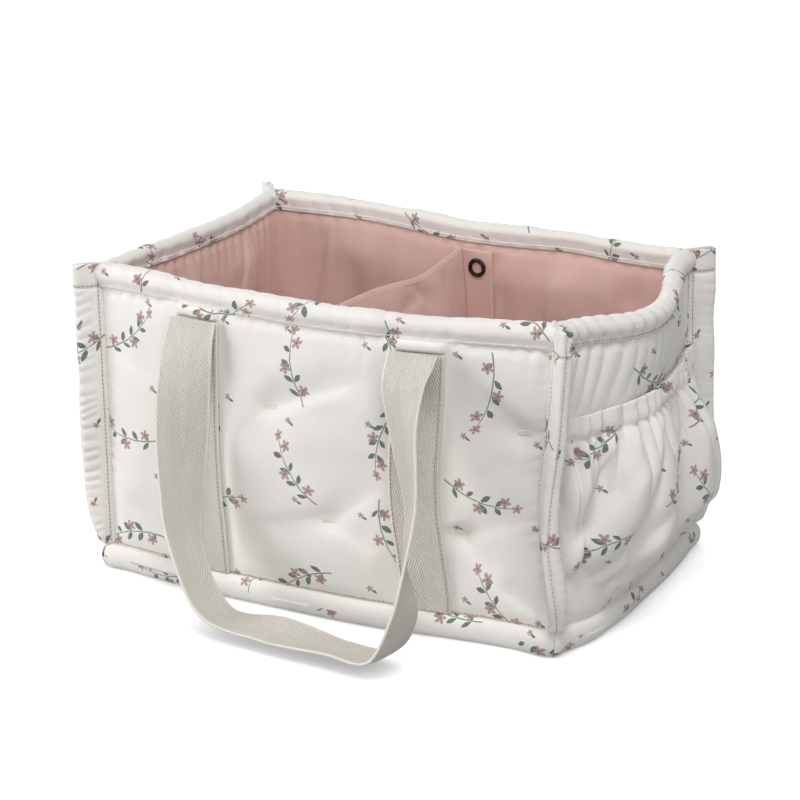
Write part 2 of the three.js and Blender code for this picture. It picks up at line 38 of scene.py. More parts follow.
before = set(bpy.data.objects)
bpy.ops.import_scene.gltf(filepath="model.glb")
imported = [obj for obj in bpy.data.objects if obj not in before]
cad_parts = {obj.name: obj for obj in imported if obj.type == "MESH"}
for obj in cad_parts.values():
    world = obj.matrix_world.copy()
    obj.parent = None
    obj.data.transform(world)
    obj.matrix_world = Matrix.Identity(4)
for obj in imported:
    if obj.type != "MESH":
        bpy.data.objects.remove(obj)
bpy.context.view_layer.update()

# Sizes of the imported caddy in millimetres, as its solids have them
MM = 0.001
SEAM_LENGTH = 366.0
SEAM_WIDTH = 230.0
BODY_HEIGHT = 236.0
CLOTH = 1.2
GAP = 0.3
WALL_FACE = 4.5
WALL_CROWN = 2.0
BINDING_FACE = 6.0
BINDING_DROP_OUTSIDE = 17.0
BINDING_DROP_INSIDE = 15.0
ARCH_SPRING = 230.8
ARCH_RISE = 5.2
CORNER_LEAN = 11.0
BAND_TOP = 18.0
BAND_DEPTH = 6.5
BAND_CORNER_LOBE = 3.6
BAND_CORNER_RUN = 9.0
FIN_REACH = 15.0
FIN_END_REACH = 5.0
FIN_SWAY = 5.0
FIN_RISE = 0.5
STRAP_SPACING = 180.0
STRAP_TOP = 211.0
WEBBING_WIDTH = 38.0
WEBBING_THICKNESS = 2.2
HANDLE_REACH = 196.0
FRONT_FOLD = 135.6
BACK_FOLD = 140.0
POCKET_REACH = 242.0
POCKET_MOUTH = 163.0
POCKET_MOUTH_RISE = 11.0
POCKET_MOUTH_ROOM = 12.0
POCKET_HEM = 14.0
POCKET_MARGIN = 0.6
DIVIDER_PLACE = -9.0
DIVIDER_SKEW = 6.0
DIVIDER_HALF = 5.0
DIVIDER_TOP = 217.0
DIVIDER_SAG = 8.0
DIVIDER_FOOT = 10.8
FLANGE_WIDTH = 28.0
FLANGE_THICKNESS = 2.4
SNAP_SPACE = 3.3
SNAP_INSET = 15.0
SNAP_HEIGHTS = (203.0, 61.0)
BASE_TOP = 9.8

# Sizes that follow from those, or that only this script has, in millimetres
QUILT_TOP = BODY_HEIGHT - BINDING_DROP_OUTSIDE
LINING_TOP = BODY_HEIGHT - BINDING_DROP_INSIDE
STRIP_MIDDLE = STRAP_SPACING / 2
QUILT_SHEET = 3.0
STRIP_SHEET = 2.0
FLANGE_SHEET = 2.2
POCKET_SHEET = 0.9
UNDERSIDE_SHEET = 1.0
DIVIDER_LENGTH = 221.0
DIVIDER_SEAM_ASIDE = 2.15
DIVIDER_SEAM_DROP = 3.5
POCKET_PLEAT = 10.5

# The share of a pocket's cells below its mouth, and the seed of each pocket's folds
POCKET_HEM_SHARE = 0.86
POCKET_SEEDS = {"right": 601, "left": 641}

LONG_WALLS = ("front", "back")
END_WALLS = ("left", "right")

# How near vertices have to be to merge, in metres
PIECE_MERGE = 0.00002
THREAD_MERGE = 0.000004
TURNED_MERGE = 0.000002

# Columns and rows of cells of the pieces along a wall, on the long walls and on the ends
QUILT_CELLS = ((260, 136), (190, 136))
LINING_CELLS = ((200, 100), (150, 100))
BINDING_CELLS = ((300, 30), (230, 30))
ROLL_CELLS = ((230, 40), (160, 40))

# Pitch, reach and depth of the quilt's gathers under the binding, on the long walls and the ends
QUILT_GATHERS = ((12, 12, 2.2), (11, 30, 5.0))
# Spacing and rise of the lining's folds, then pitch, reach and depth of its pinches
LINING_FOLDS = ((30, 4.2, 17, 22, 2.0), (19, 3.0, 11, 26, 2.3))
# Pitch and depth of each binding's gathers
GATHERS = {"front": (15, 1.6), "right": (10.5, 6.0), "back": (19, 1.4), "left": (19, 3.4)}

# Stitch length and thread thickness of each kind of seam; a bar tack has no single stitches
THREADS = {
    "edge": (3.3, 0.8),
    "fin": (3.2, 0.8),
    "strip": (3.2, 0.7),
    "divider": (3.0, 0.5),
    "flange": (3.3, 0.65),
    "tack": (0, 0.5),
}

# Where each piece is cut from its cloth, in metres
CUT_PLACES = {
    "front_wall_quilt": (0.013, 0.02),
    "right_wall_quilt": (1.31, 0.4),
    "back_wall_quilt": (2.12, 0.9),
    "left_wall_quilt": (3.37, 0.3),
    "front_bound_edge": (4.02, 0.2),
    "right_bound_edge": (5.31, 0.61),
    "back_bound_edge": (6.2, 1.06),
    "left_bound_edge": (7.37, 0.3),
    "front_foot_roll": (8.03, 0.52),
    "right_foot_roll": (9.31, 0.16),
    "back_foot_roll": (1.2, 1.7),
    "left_foot_roll": (2.37, 1.3),
    "front_left_fin": (3.3, 2.1),
    "front_right_fin": (4.6, 2.33),
    "back_right_fin": (5.9, 2.2),
    "back_left_fin": (6.7, 2.62),
    "front_left_strip": (0.0, -0.1),
    "front_right_strip": (0.0, 0.1),
    "back_left_strip": (0.0, -0.1),
    "back_right_strip": (0.0, 0.1),
    "right_gathered_pocket": (3.11, 3.2),
    "left_gathered_pocket": (4.4, 3.7),
    "base_underside_cloth": (2.0, 3.0),
}

CORNERS = {
    "front_left": ((-1, -1), (0.3, -0.35), (0.05, 0.15)),
    "front_right": ((1, -1), (0.0, 0.1), (0.1, 0.95)),
    "back_right": ((1, 1), (0.0, 0.0), (0.1, -0.95)),
    "back_left": ((-1, 1), (0.0, 0.0), (-0.8, 1.4)),
}
SEAM_BUCKLE = 9.0
SEAM_BUCKLE_SHARES = (0, 0.15, -0.25, -0.85, -1, -0.7, -0.35, -0.1, 0)

# Each wall: the corners it runs between, its outward direction, and the depth and shares of its
# bow at the foot, of its bow at the head and of its top edge's sag
WALLS = {
    "front": (
        "front_left", "front_right", (0, -1),
        (11, (0, 0.4, 0.8, 0.95, 1, 0.85, 0.4, 0, 0)),
        (20, (0, 0.27, 0.64, 0.86, 0.95, 0.97, 0.8, 0.42, 0)),
        (2, (0, 0, 0.3, 0.5, 1, 0.8, 0.6, 0.2, 0)),
    ),
    "right": (
        "front_right", "back_right", (1, 0),
        (12, (0, 0.85, 1, 1, 0.95, 0.85, 0.7, 0.4, 0)),
        (35, (0, 0.3, 0.82, 1, 0.92, 0.7, 0.4, 0.12, 0)),
        (4, (0, 0.3, 0.7, 1, 1, 0.9, 0.6, 0.3, 0)),
    ),
    "back": (
        "back_right", "back_left", (0, 1),
        (7, (0, 0.2, 0.3, -0.2, -0.5, -0.1, 0.6, 0.6, 0)),
        (7, (0, 0.2, 0.5, -0.1, -0.5, 0, 0.9, 0.8, 0)),
        (2, (0, 0.4, -0.3, 0.4, 0.6, -0.2, -0.3, 0, 0)),
    ),
    "left": (
        "back_left", "front_left", (-1, 0),
        (6, (0, 0.5, 0.9, 1, 1, 1, 0.9, 0.5, 0)),
        (4, (0, -0.5, -1, -0.7, -0.3, 0.1, 0.5, 0.3, 0)),
        (4, (0, 0.4, 0.8, 1, 1, 0.9, 0.6, 0.3, 0)),
    ),
}

# The front loop from fold to fold: spread, reach and height as shares, and the turn and lift of
# its width in degrees
HANDLE_ROUTE = (
    (-1, 0, 1, 0, 0),
    (-1, 0.14, 0.9, 8, 1),
    (-1, 0.26, 0.75, 30, 6),
    (-0.98, 0.42, 0.5, 60, 10),
    (-0.88, 0.63, 0.25, 84, 15),
    (-0.53, 0.84, 0.06, 86, 11),
    (0.07, 0.92, 0.05, 87, -4),
    (0.66, 0.97, 0.04, 87, 10),
    (1.08, 1, 0.055, 87, 5),
    (1.25, 0.93, 0.2, 91, 11),
    (1.22, 0.8, 0.37, 120, 17),
    (1.2, 0.6, 0.54, 131, 16),
    (1.07, 0.4, 0.77, 150, 18),
    (1, 0.2, 0.91, 170, 6),
    (1, 0, 1, 180, 0),
)

# Bar tacks through the quilt: x and height
TACKS = {
    "front": ((-30, 155), (16, 76), (163, 158), (117, 80)),
    "back": ((-150, 155), (-30, 155), (140, 155), (-125, 76), (16, 76), (150, 76)),
}

FIN_REACH_SHARES = (0, 0.75, 0.95, 1, 1, 1, 1, 1, 1)
FIN_SWAY_SHARES = (-0.1, -0.9, -1, -0.3, 0.2, 0.3, 0.1, 0, 0)
BAND_ALONG_SHARES = (0.55, 0.9, 1, 1, 1, 1, 1, 0.9, 0.6)
LOBE_SHARES = (0.05, 0.5, 0.8, 0.78, 0.5, 0.8, 0.85, 0.5, 0.05)
BELLY_SHARES = (0, 0.45, 0.8, 0.98, 1, 0.9, 0.72, 0.5, 0.32)
DIVIDER_SAG_SHARES = (0, 0.1, 0.15, 0.25, 0.6, 1, 0.6, 0)


# Shapes of the walls


def mix(low, high, share):
    return low + (high - low) * share


def reading(shares, place):
    """A smooth reading of a table of shares at places from 0 to 1 along it."""
    table = np.asarray(shares, float)
    place = np.clip(np.asarray(place, float), 0, 1)
    last = len(table) - 1
    at = place * last
    index = np.minimum(np.floor(at).astype(int), last)
    t = at - index
    before = table[np.maximum(index - 1, 0)]
    here = table[index]
    after = table[np.minimum(index + 1, last)]
    beyond = table[np.minimum(index + 2, last)]
    v0 = (after - before) / 2
    v1 = (beyond - here) / 2
    cubic = (2 * here - 2 * after + v0 + v1) * t**3
    return cubic + (-3 * here + 3 * after - 2 * v0 - v1) * t**2 + v0 * t + here


def ripples(x, y, size, seed):
    """Smooth noise from -1 to 1 whose features are about that size."""
    cells = 64
    table = np.random.default_rng(seed).uniform(-1, 1, (cells, cells))
    x, y = np.asarray(x, float) / size, np.asarray(y, float) / size
    column, row = np.floor(x).astype(int), np.floor(y).astype(int)
    across, up = x - column, y - row
    across = across**3 * (across * (across * 6 - 15) + 10)
    up = up**3 * (up * (up * 6 - 15) + 10)
    column, row = column % cells, row % cells
    right, above = (column + 1) % cells, (row + 1) % cells
    low = mix(table[column, row], table[right, row], across)
    high = mix(table[column, above], table[right, above], across)
    return mix(low, high, up)


def smooth(low, high, value):
    share = np.clip((np.asarray(value, float) - low) / (high - low), 0, 1)
    return share * share * (3 - 2 * share)


def swell(place, steepness):
    """A share that rises from 0 at either end of a span to 1 over most of its middle."""
    return 1 - np.clip(2 * np.asarray(place, float) - 1, -1, 1) ** steepness


def bell(distance, width):
    """1 where a distance is 0, falling away on both sides of it."""
    return np.exp(-((distance / width) ** 2))


def fade(distance, reach):
    """1 at a seam, falling away from it."""
    return np.exp(-np.maximum(distance, 0) / reach)


def corner_at(name, height):
    (x, y), foot, head = CORNERS[name]
    rise = np.asarray(height, float) / BODY_HEIGHT
    east = x * SEAM_LENGTH / 2 + CORNER_LEAN * mix(foot[0], head[0], rise)
    north = y * SEAM_WIDTH / 2 + CORNER_LEAN * mix(foot[1], head[1], rise)
    if name == "front_right":
        east = east + SEAM_BUCKLE * reading(SEAM_BUCKLE_SHARES, rise)
    return east, north


def plan_at(side, place, height):
    """A point on a wall's middle surface, in plan."""
    start, end, outward, (foot_bow, foot), (head_bow, head), _ = WALLS[side]
    rise = height / BODY_HEIGHT
    depth = mix(foot_bow * reading(foot, place), head_bow * reading(head, place), rise)
    x0, y0 = corner_at(start, height)
    x1, y1 = corner_at(end, height)
    return mix(x0, x1, place) + outward[0] * depth, mix(y0, y1, place) + outward[1] * depth


def beside_wall(side, place, height, out):
    """Points at a distance outward from a wall's middle surface, in millimetres."""
    step = 0.004
    place, height, out = np.broadcast_arrays(
        *(np.asarray(value, float) for value in (place, height, out))
    )
    outward = WALLS[side][2]
    x, y = plan_at(side, place, height)
    x0, y0 = plan_at(side, np.maximum(place - step, 0), height)
    x1, y1 = plan_at(side, np.minimum(place + step, 1), height)
    run = np.hypot(x1 - x0, y1 - y0)
    across_x, across_y = (y1 - y0) / run, -(x1 - x0) / run
    along_x, along_y = -outward[1], outward[0]
    mitre = np.where(place <= 0, -1.0, np.where(place >= 1, 1.0, 0.0))
    ended = mitre != 0
    across_x = np.where(ended, outward[0] + mitre * along_x, across_x)
    across_y = np.where(ended, outward[1] + mitre * along_y, across_y)
    sag_depth, sag = WALLS[side][5]
    drop = sag_depth * reading(sag, place) * height / BODY_HEIGHT
    return np.stack(
        [
            x + across_x * out - mitre * along_x * GAP,
            y + across_y * out - mitre * along_y * GAP,
            height - drop,
        ],
        axis=-1,
    )


def place_of(side, x, height=STRAP_TOP):
    """The place along the front or back wall of a point at x."""
    start = corner_at(WALLS[side][0], height)[0]
    end = corner_at(WALLS[side][1], height)[0]
    return (x - start) / (end - start)


def crown_at(place, height):
    rise = (height - BAND_TOP) / (QUILT_TOP - BAND_TOP)
    return WALL_CROWN * swell(rise, 4) * swell(place, 6)


def either(side, long_wall, end_wall):
    """The first value for the front and back walls, the second for the ends."""
    return long_wall if side in LONG_WALLS else end_wall


def wall_length(side):
    return either(side, SEAM_LENGTH, SEAM_WIDTH)


def seam_distance(side, place):
    """How far a place along a wall lies from the nearer of its two seams."""
    return np.minimum(place, 1 - place) * wall_length(side)


def seed_of(names, name, step):
    """A random seed of its own for each wall or corner."""
    return step * (1 + list(names).index(name))


# Folds and puckers, in millimetres


def crease(x, y, start, end, width, depth):
    """A valley from one point to another that fades at both ends."""
    (x0, y0), (x1, y1) = start, end
    length = math.hypot(x1 - x0, y1 - y0)
    along = ((x - x0) * (x1 - x0) + (y - y0) * (y1 - y0)) / length**2
    aside = ((x - x0) * (y1 - y0) - (y - y0) * (x1 - x0)) / length
    kept = smooth(-0.15, 0.2, along) * (1 - smooth(0.55, 1.1, along))
    side = np.where(aside > 0, 1.0, 2.4)
    return -depth * kept * bell(aside, width * side)


def puckers(run, distance, spacing, reach, seed):
    """Small folds that run square from a seam and fade away from it."""
    bent = run + 0.25 * distance * ripples(run, distance, 60, seed + 1)
    fine = ripples(bent, 0 * run, spacing, seed)
    return fine * fade(distance, reach)


def ruffle(run, spacing, seed, roundness=1.15):
    """Round ridges with sharp valleys between them: 0 in a valley and 1 on a ridge."""
    at = run / spacing + 0.4 * ripples(run, 0 * run, 3.1 * spacing, seed)
    return np.abs(np.sin(math.pi * at)) ** roundness


def patchy(run, size, low, seed):
    """A strength between low and 1 that changes along a seam."""
    return mix(low, 1.0, 0.5 + 0.5 * ripples(run, 0 * run, size, seed))


def tuck(x, y, tack):
    """The dimple round a bar tack, drawn out to both sides."""
    dx, dy = x - tack[0], y - tack[1]
    near = np.exp(-((dx / 13) ** 2) - (dy / 9) ** 2)
    wide = np.exp(-((dx / 34) ** 2) - (dy / 26) ** 2)
    return -3.0 * near - 1.6 * wide


def strip_press(x):
    """1 where a sewn strip presses the quilt flat, 0 away from both strips."""
    off = np.abs(np.abs(x) - STRIP_MIDDLE)
    return 1 - smooth(WEBBING_WIDTH / 2 + 1, WEBBING_WIDTH / 2 + 20, off)


# Soft creases of the front quilt: start and end as x and height, width and depth
FRONT_CREASES = (
    ((-30, 155), (52, 190), 6, 2.0),
    ((-30, 155), (-62, 120), 7, 1.0),
    ((16, 76), (70, 118), 7, 1.6),
    ((16, 76), (-50, 60), 8, 1.3),
    ((16, 76), (62, 60), 7, 1.2),
    ((117, 80), (150, 38), 5, 2.2),
    ((117, 80), (172, 100), 7, 1.0),
    ((163, 158), (128, 190), 7, 1.2),
    ((163, 158), (172, 110), 7, 1.2),
    ((150, 44), (184, 24), 5, 1.6),
    ((-160, 60), (-120, 20), 8, 1.4),
    ((-175, 180), (-120, 150), 8, 1.0),
)


def quilt_out(side, place, height):
    """How far the printed side lies from a wall's middle surface."""
    place, height = np.broadcast_arrays(np.asarray(place, float), np.asarray(height, float))
    run = place * wall_length(side)
    seed = seed_of(WALLS, side, 11)
    to_top = QUILT_TOP - height
    to_foot = height - BAND_TOP
    to_seam = seam_distance(side, place)
    near = smooth(-1, 9, to_top) * smooth(-1, 10, to_foot) * smooth(1, 13, to_seam)
    full = smooth(0, 40, to_top) * smooth(0, 40, to_foot) * smooth(0, 34, to_seam)
    out = WALL_FACE - 0.6 + 0.7 * crown_at(place, height) + 2.1 * near + 1.3 * full
    out = out + 1.7 * full * ripples(run, height, 58, seed)
    out = out + 0.8 * full * ripples(run, height, 23, seed + 1)
    out = out - 1.8 * smooth(0.5, -3, to_top)
    pitch, reach, depth = either(side, *QUILT_GATHERS)
    top_run = run + 0.3 * to_top * ripples(run, to_top, 50, seed + 6)
    top_fold = 1 - ruffle(top_run, pitch, seed + 2)
    top_fade = fade(to_top, reach) * patchy(run, 40, 0.2, seed)
    out = out - depth * top_fold * top_fade * smooth(-1, 2, to_top)
    foot_fold = 1 - ruffle(run + 0.3 * to_foot, 12, seed + 3)
    foot_fade = fade(to_foot, 12) * patchy(run, 36, 0.2, seed + 4)
    out = out - 1.1 * foot_fold * foot_fade
    seam_fold = 1 - ruffle(height + 0.3 * to_seam, 10, seed + 4)
    out = out - 1.0 * seam_fold * fade(to_seam, 9) * patchy(height, 30, 0.3, seed + 7)
    if side in END_WALLS:
        return out
    x = beside_wall(side, place, height, 0)[..., 0]
    for tack in TACKS[side]:
        out = out + tuck(x, height, tack)
    creases = FRONT_CREASES
    if side == "back":
        creases = [(tack, (tack[0] + 70, tack[1] + 26), 6, 1.4) for tack in TACKS[side]]
    for start, end, width, deep in creases:
        out = out + crease(x, height, start, end, width, 1.5 * deep)
    flat = WALL_FACE + 0.6 * crown_at(place, height)
    out = mix(out, np.minimum(flat, out), strip_press(x))
    tab = 1 - smooth(16.5, 19, np.abs(np.abs(x) - STRIP_MIDDLE))
    tab = tab * smooth(STRAP_TOP, STRAP_TOP + 1.5, height) * smooth(-0.5, 1.5, to_top)
    return np.maximum(out, mix(out, WALL_FACE + 3.2, tab))


# Mesh making


def new_object(name, data):
    piece = bpy.data.objects.new(name, data)
    bpy.context.scene.collection.objects.link(piece)
    return piece


def mesh_of(bm, name):
    """Ends a bmesh as a mesh of that name."""
    mesh = bpy.data.meshes.new(name)
    bm.to_mesh(mesh)
    bm.free()
    return mesh


def settle(bm, merge):
    """Merges vertices that meet, fills open ends, turns the faces outward and smooths them."""
    bmesh.ops.remove_doubles(bm, verts=bm.verts, dist=merge)
    edges = [edge for edge in bm.edges if edge.is_boundary]
    bmesh.ops.holes_fill(bm, edges=edges, sides=0)
    bmesh.ops.recalc_face_normals(bm, faces=bm.faces)
    for face in bm.faces:
        face.smooth = True


def grid_mesh(name, cells, rule):
    """A grid of cells moved by rule(u, v), with the cloth's own metres as its UV map."""
    columns, rows = cells
    bm = bmesh.new()
    bm.loops.layers.uv.new("cloth")
    bmesh.ops.create_grid(bm, x_segments=columns, y_segments=rows, size=0.5, calc_uvs=True)
    mesh = mesh_of(bm, name)
    places = np.zeros(len(mesh.vertices) * 3)
    mesh.vertices.foreach_get("co", places)
    places = places.reshape(-1, 3) + 0.5
    column = np.round(places[:, 0] * columns).astype(int)
    row = np.round(places[:, 1] * rows).astype(int)
    moved = rule(column / columns, row / rows) * MM
    mesh.vertices.foreach_set("co", moved.astype(np.float32).ravel())

    laid = np.zeros((rows + 1, columns + 1, 3))
    laid[row, column] = moved
    across = np.linalg.norm(np.diff(laid, axis=1), axis=2).mean(axis=0)
    along = np.linalg.norm(np.diff(laid, axis=0), axis=2).mean(axis=1)
    cut = CUT_PLACES.get(name, (0.0, 0.0))
    across = cut[0] + np.concatenate([[0], np.cumsum(across)])
    along = cut[1] + np.concatenate([[0], np.cumsum(along)])
    corners = np.zeros(len(mesh.loops), np.int32)
    mesh.loops.foreach_get("vertex_index", corners)
    chart = np.stack([across[column], along[row]], axis=-1)[corners]
    mesh.uv_layers["cloth"].data.foreach_set("uv", chart.astype(np.float32).ravel())
    mesh.update()
    return mesh


def sheet_piece(name, cells, rule, thickness, offset=-1.0):
    """A sheet of cloth with its thickness behind it."""
    mesh = grid_mesh(name, cells, rule)
    mesh.polygons.foreach_set("use_smooth", [True] * len(mesh.polygons))
    piece = new_object(name, mesh)
    solid = piece.modifiers.new("cloth", "SOLIDIFY")
    solid.thickness = thickness * MM
    solid.offset = offset
    solid.use_even_offset = False
    return piece


def closed_piece(name, cells, rule):
    """A closed body: rule(u, v) runs along it with u and once round it with v."""
    mesh = grid_mesh(name, cells, rule)
    bm = bmesh.new()
    bm.from_mesh(mesh)
    settle(bm, PIECE_MERGE)
    bm.to_mesh(mesh)
    bm.free()
    return new_object(name, mesh)


def dress(piece, key, body, *nodes):
    """Gives a piece its finish and its body, and hides the nodes that it stands for."""
    maker, name, slot = FINISHES[key]
    finish = bpy.data.materials.get(name)
    if finish is None:
        finish = maker(Finish(name), bpy.context.scene.caddy_looks)
    piece.data.materials.append(finish)
    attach(piece, body)
    if nodes:
        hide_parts(*nodes)
    return piece


# One stitch of a seam: places along it, and the thread's girth and lift there as shares
STITCH_PLACES = (0.0, 0.09, 0.25, 0.5, 0.75, 0.91)
STITCH_GIRTHS = (0.15, 0.75, 1, 1, 1, 0.75)
STITCH_LIFTS = (-0.9, -0.1, 0.35, 0.45, 0.35, -0.1)


def thread_mesh(name, line, ups, pitch, thickness):
    """A thread along a line of points; with a pitch it dips through the cloth at each stitch."""
    steps = np.linalg.norm(np.diff(line, axis=0), axis=1)
    run = np.concatenate([[0], np.cumsum(steps)])
    places, girths, lifts = run, np.ones(len(run)), np.zeros(len(run))
    if pitch:
        count = max(int(run[-1] / pitch), 1)
        inside = (np.arange(count)[:, None] + np.array(STITCH_PLACES)).ravel()
        places = np.append(inside, count) * run[-1] / count
        girths = np.append(np.tile(STITCH_GIRTHS, count), STITCH_GIRTHS[0])
        lifts = np.append(np.tile(STITCH_LIFTS, count), STITCH_LIFTS[0])
    centre = np.stack([np.interp(places, run, line[:, axis]) for axis in range(3)], axis=-1)
    normal = np.stack([np.interp(places, run, ups[:, axis]) for axis in range(3)], axis=-1)
    ahead = np.gradient(centre, axis=0)
    ahead = ahead / np.linalg.norm(ahead, axis=1, keepdims=True)
    side = np.cross(normal, ahead)
    side = side / np.linalg.norm(side, axis=1, keepdims=True)
    normal = np.cross(ahead, side)
    centre = centre + normal * (lifts * thickness)[:, None]

    def rule(u, v):
        index = np.round(u * (len(places) - 1)).astype(int)
        angle = 2 * math.pi * v[:, None]
        radius = (thickness / 2 * girths[index])[:, None]
        return centre[index] + radius * (np.cos(angle) * side[index] + np.sin(angle) * normal[index])

    return grid_mesh(name, (len(places) - 1, 6), rule)


def stitches(name, seams, thread, key, body="caddy"):
    """Lines of sewing thread, joined into one piece; a seam is a line and its ways up."""
    bm = bmesh.new()
    for line, ups in seams:
        mesh = thread_mesh(name, line, ups, *THREADS[thread])
        bm.from_mesh(mesh)
        bpy.data.meshes.remove(mesh)
    settle(bm, THREAD_MERGE)
    return dress(new_object(name, mesh_of(bm, name)), key, body)


# Finishes


class Field:
    """A number that changes over a surface, for writing shader maths as Python."""

    def __init__(self, maker, socket):
        self.maker = maker
        self.socket = socket

    def __add__(self, other):
        return self.maker.maths("ADD", self, other)

    def __sub__(self, other):
        return self.maker.maths("SUBTRACT", self, other)

    def __rsub__(self, other):
        return self.maker.maths("SUBTRACT", other, self)

    def __mul__(self, other):
        return self.maker.maths("MULTIPLY", self, other)

    def __truediv__(self, other):
        return self.maker.maths("DIVIDE", self, other)

    __radd__ = __add__
    __rmul__ = __mul__

    def __abs__(self):
        return self.maker.maths("ABSOLUTE", self)


class Nodes:
    """A node tree, and the fields that are made in it."""

    def __init__(self, tree):
        self.tree = tree

    def feed(self, socket, value):
        """Links a field or a socket to a socket, or sets its value."""
        if isinstance(value, Field):
            value = value.socket
        if isinstance(value, bpy.types.NodeSocket):
            self.tree.links.new(value, socket)
        else:
            socket.default_value = value

    def add(self, kind, settings=None, values=None):
        """A node of a type, its settings first and then its sockets' values or links."""
        node = self.tree.nodes.new(kind)
        for key, value in (settings or {}).items():
            setattr(node, key, value)
        for key, value in (values or {}).items():
            self.feed(node.inputs[key], value)
        return node

    def maths(self, operation, *values):
        given = dict(enumerate(values))
        node = self.add("ShaderNodeMath", {"operation": operation}, given)
        return Field(self, node.outputs[0])

    def larger(self, one, other):
        return self.maths("MAXIMUM", one, other)

    def span(self, value, low, high, first=0.0, last=1.0, kind="LINEAR"):
        """A value's place between low and high, as a number between first and last."""
        node = self.add(
            "ShaderNodeMapRange",
            {"interpolation_type": kind},
            {0: value, 1: low, 2: high, 3: first, 4: last},
        )
        return Field(self, node.outputs[0])

    def seen(self):
        """1 for what the camera or a reflection sees, 0 for the light that a thing gives."""
        path = self.add("ShaderNodeLightPath")
        return self.larger(path.outputs["Is Camera Ray"], path.outputs["Is Glossy Ray"])


# Half the width over which the print's edges fade, in millimetres
PRINT_SOFTNESS = 0.18


class Finish(Nodes):
    """A material on one Principled shader, and the fields and textures that feed it."""

    def __init__(self, name):
        self.material = bpy.data.materials.new(name)
        self.material.use_nodes = True
        super().__init__(self.material.node_tree)
        self.shader = self.tree.nodes["Principled BSDF"]

    def cloth_places(self):
        """The cloth's own coordinates in millimetres."""
        chart = self.add("ShaderNodeUVMap", {"uv_map": "cloth"})
        apart = self.add("ShaderNodeSeparateXYZ", None, {0: chart.outputs[0]})
        across = Field(self, apart.outputs[0]) * 1000.0
        return across, Field(self, apart.outputs[1]) * 1000.0

    def vector(self, x, y, z=0.0):
        return self.add("ShaderNodeCombineXYZ", None, {0: x, 1: y, 2: z}).outputs[0]

    def noise(self, x, y, size, detail=2.0):
        """Noise over the cloth whose features are about that many millimetres."""
        values = {"Vector": self.vector(x / size, y / size), "Scale": 1.0, "Detail": detail}
        return Field(self, self.add("ShaderNodeTexNoise", None, values).outputs[0])

    def grain(self, scale, detail=2.0):
        """Noise through a solid thing, in its own coordinates."""
        place = self.add("ShaderNodeTexCoord").outputs["Object"]
        values = {"Vector": place, "Scale": scale, "Detail": detail}
        return Field(self, self.add("ShaderNodeTexNoise", None, values).outputs[0])

    def chance(self, x, y, z=0.0):
        """Four random numbers from 0 to 1 for each cell."""
        node = self.add("ShaderNodeTexWhiteNoise", None, {"Vector": self.vector(x, y, z)})
        apart = self.add("ShaderNodeSeparateColor", None, {0: node.outputs["Color"]})
        return [Field(self, node.outputs["Value"])] + [Field(self, out) for out in apart.outputs]

    def edge(self, distance):
        """1 where a distance is below 0, 0 where it is above, with a soft edge."""
        return self.span(distance, -PRINT_SOFTNESS, PRINT_SOFTNESS, 1.0, 0.0, "SMOOTHSTEP")

    def tint(self, base, over, share):
        """Two colours mixed by a share; each is a socket or three numbers."""
        values = {0: share}
        for key, value in ((6, base), (7, over)):
            values[key] = value if isinstance(value, bpy.types.NodeSocket) else (*value, 1)
        return self.add("ShaderNodeMix", {"data_type": "RGBA"}, values).outputs[2]

    def close(self, colour, roughness, height, depth, **constants):
        """Feeds the shader; height is the relief, and depth its size in metres."""
        self.feed(self.shader.inputs["Base Color"], colour)
        self.feed(self.shader.inputs["Roughness"], roughness)
        values = {"Strength": 1.0, "Distance": depth, "Height": height}
        bump = self.add("ShaderNodeBump", None, values)
        self.feed(self.shader.inputs["Normal"], bump.outputs[0])
        for key, value in constants.items():
            self.shader.inputs[key.replace("_", " ")].default_value = value
        return self.material


# Pitch of the cottons' weave, in millimetres
WEAVE_PITCH = 0.62


def weave(finish, x, y):
    """The height of a plain weave."""
    turn = 2 * math.pi / WEAVE_PITCH
    return finish.maths("SINE", x * turn) * finish.maths("SINE", y * turn)


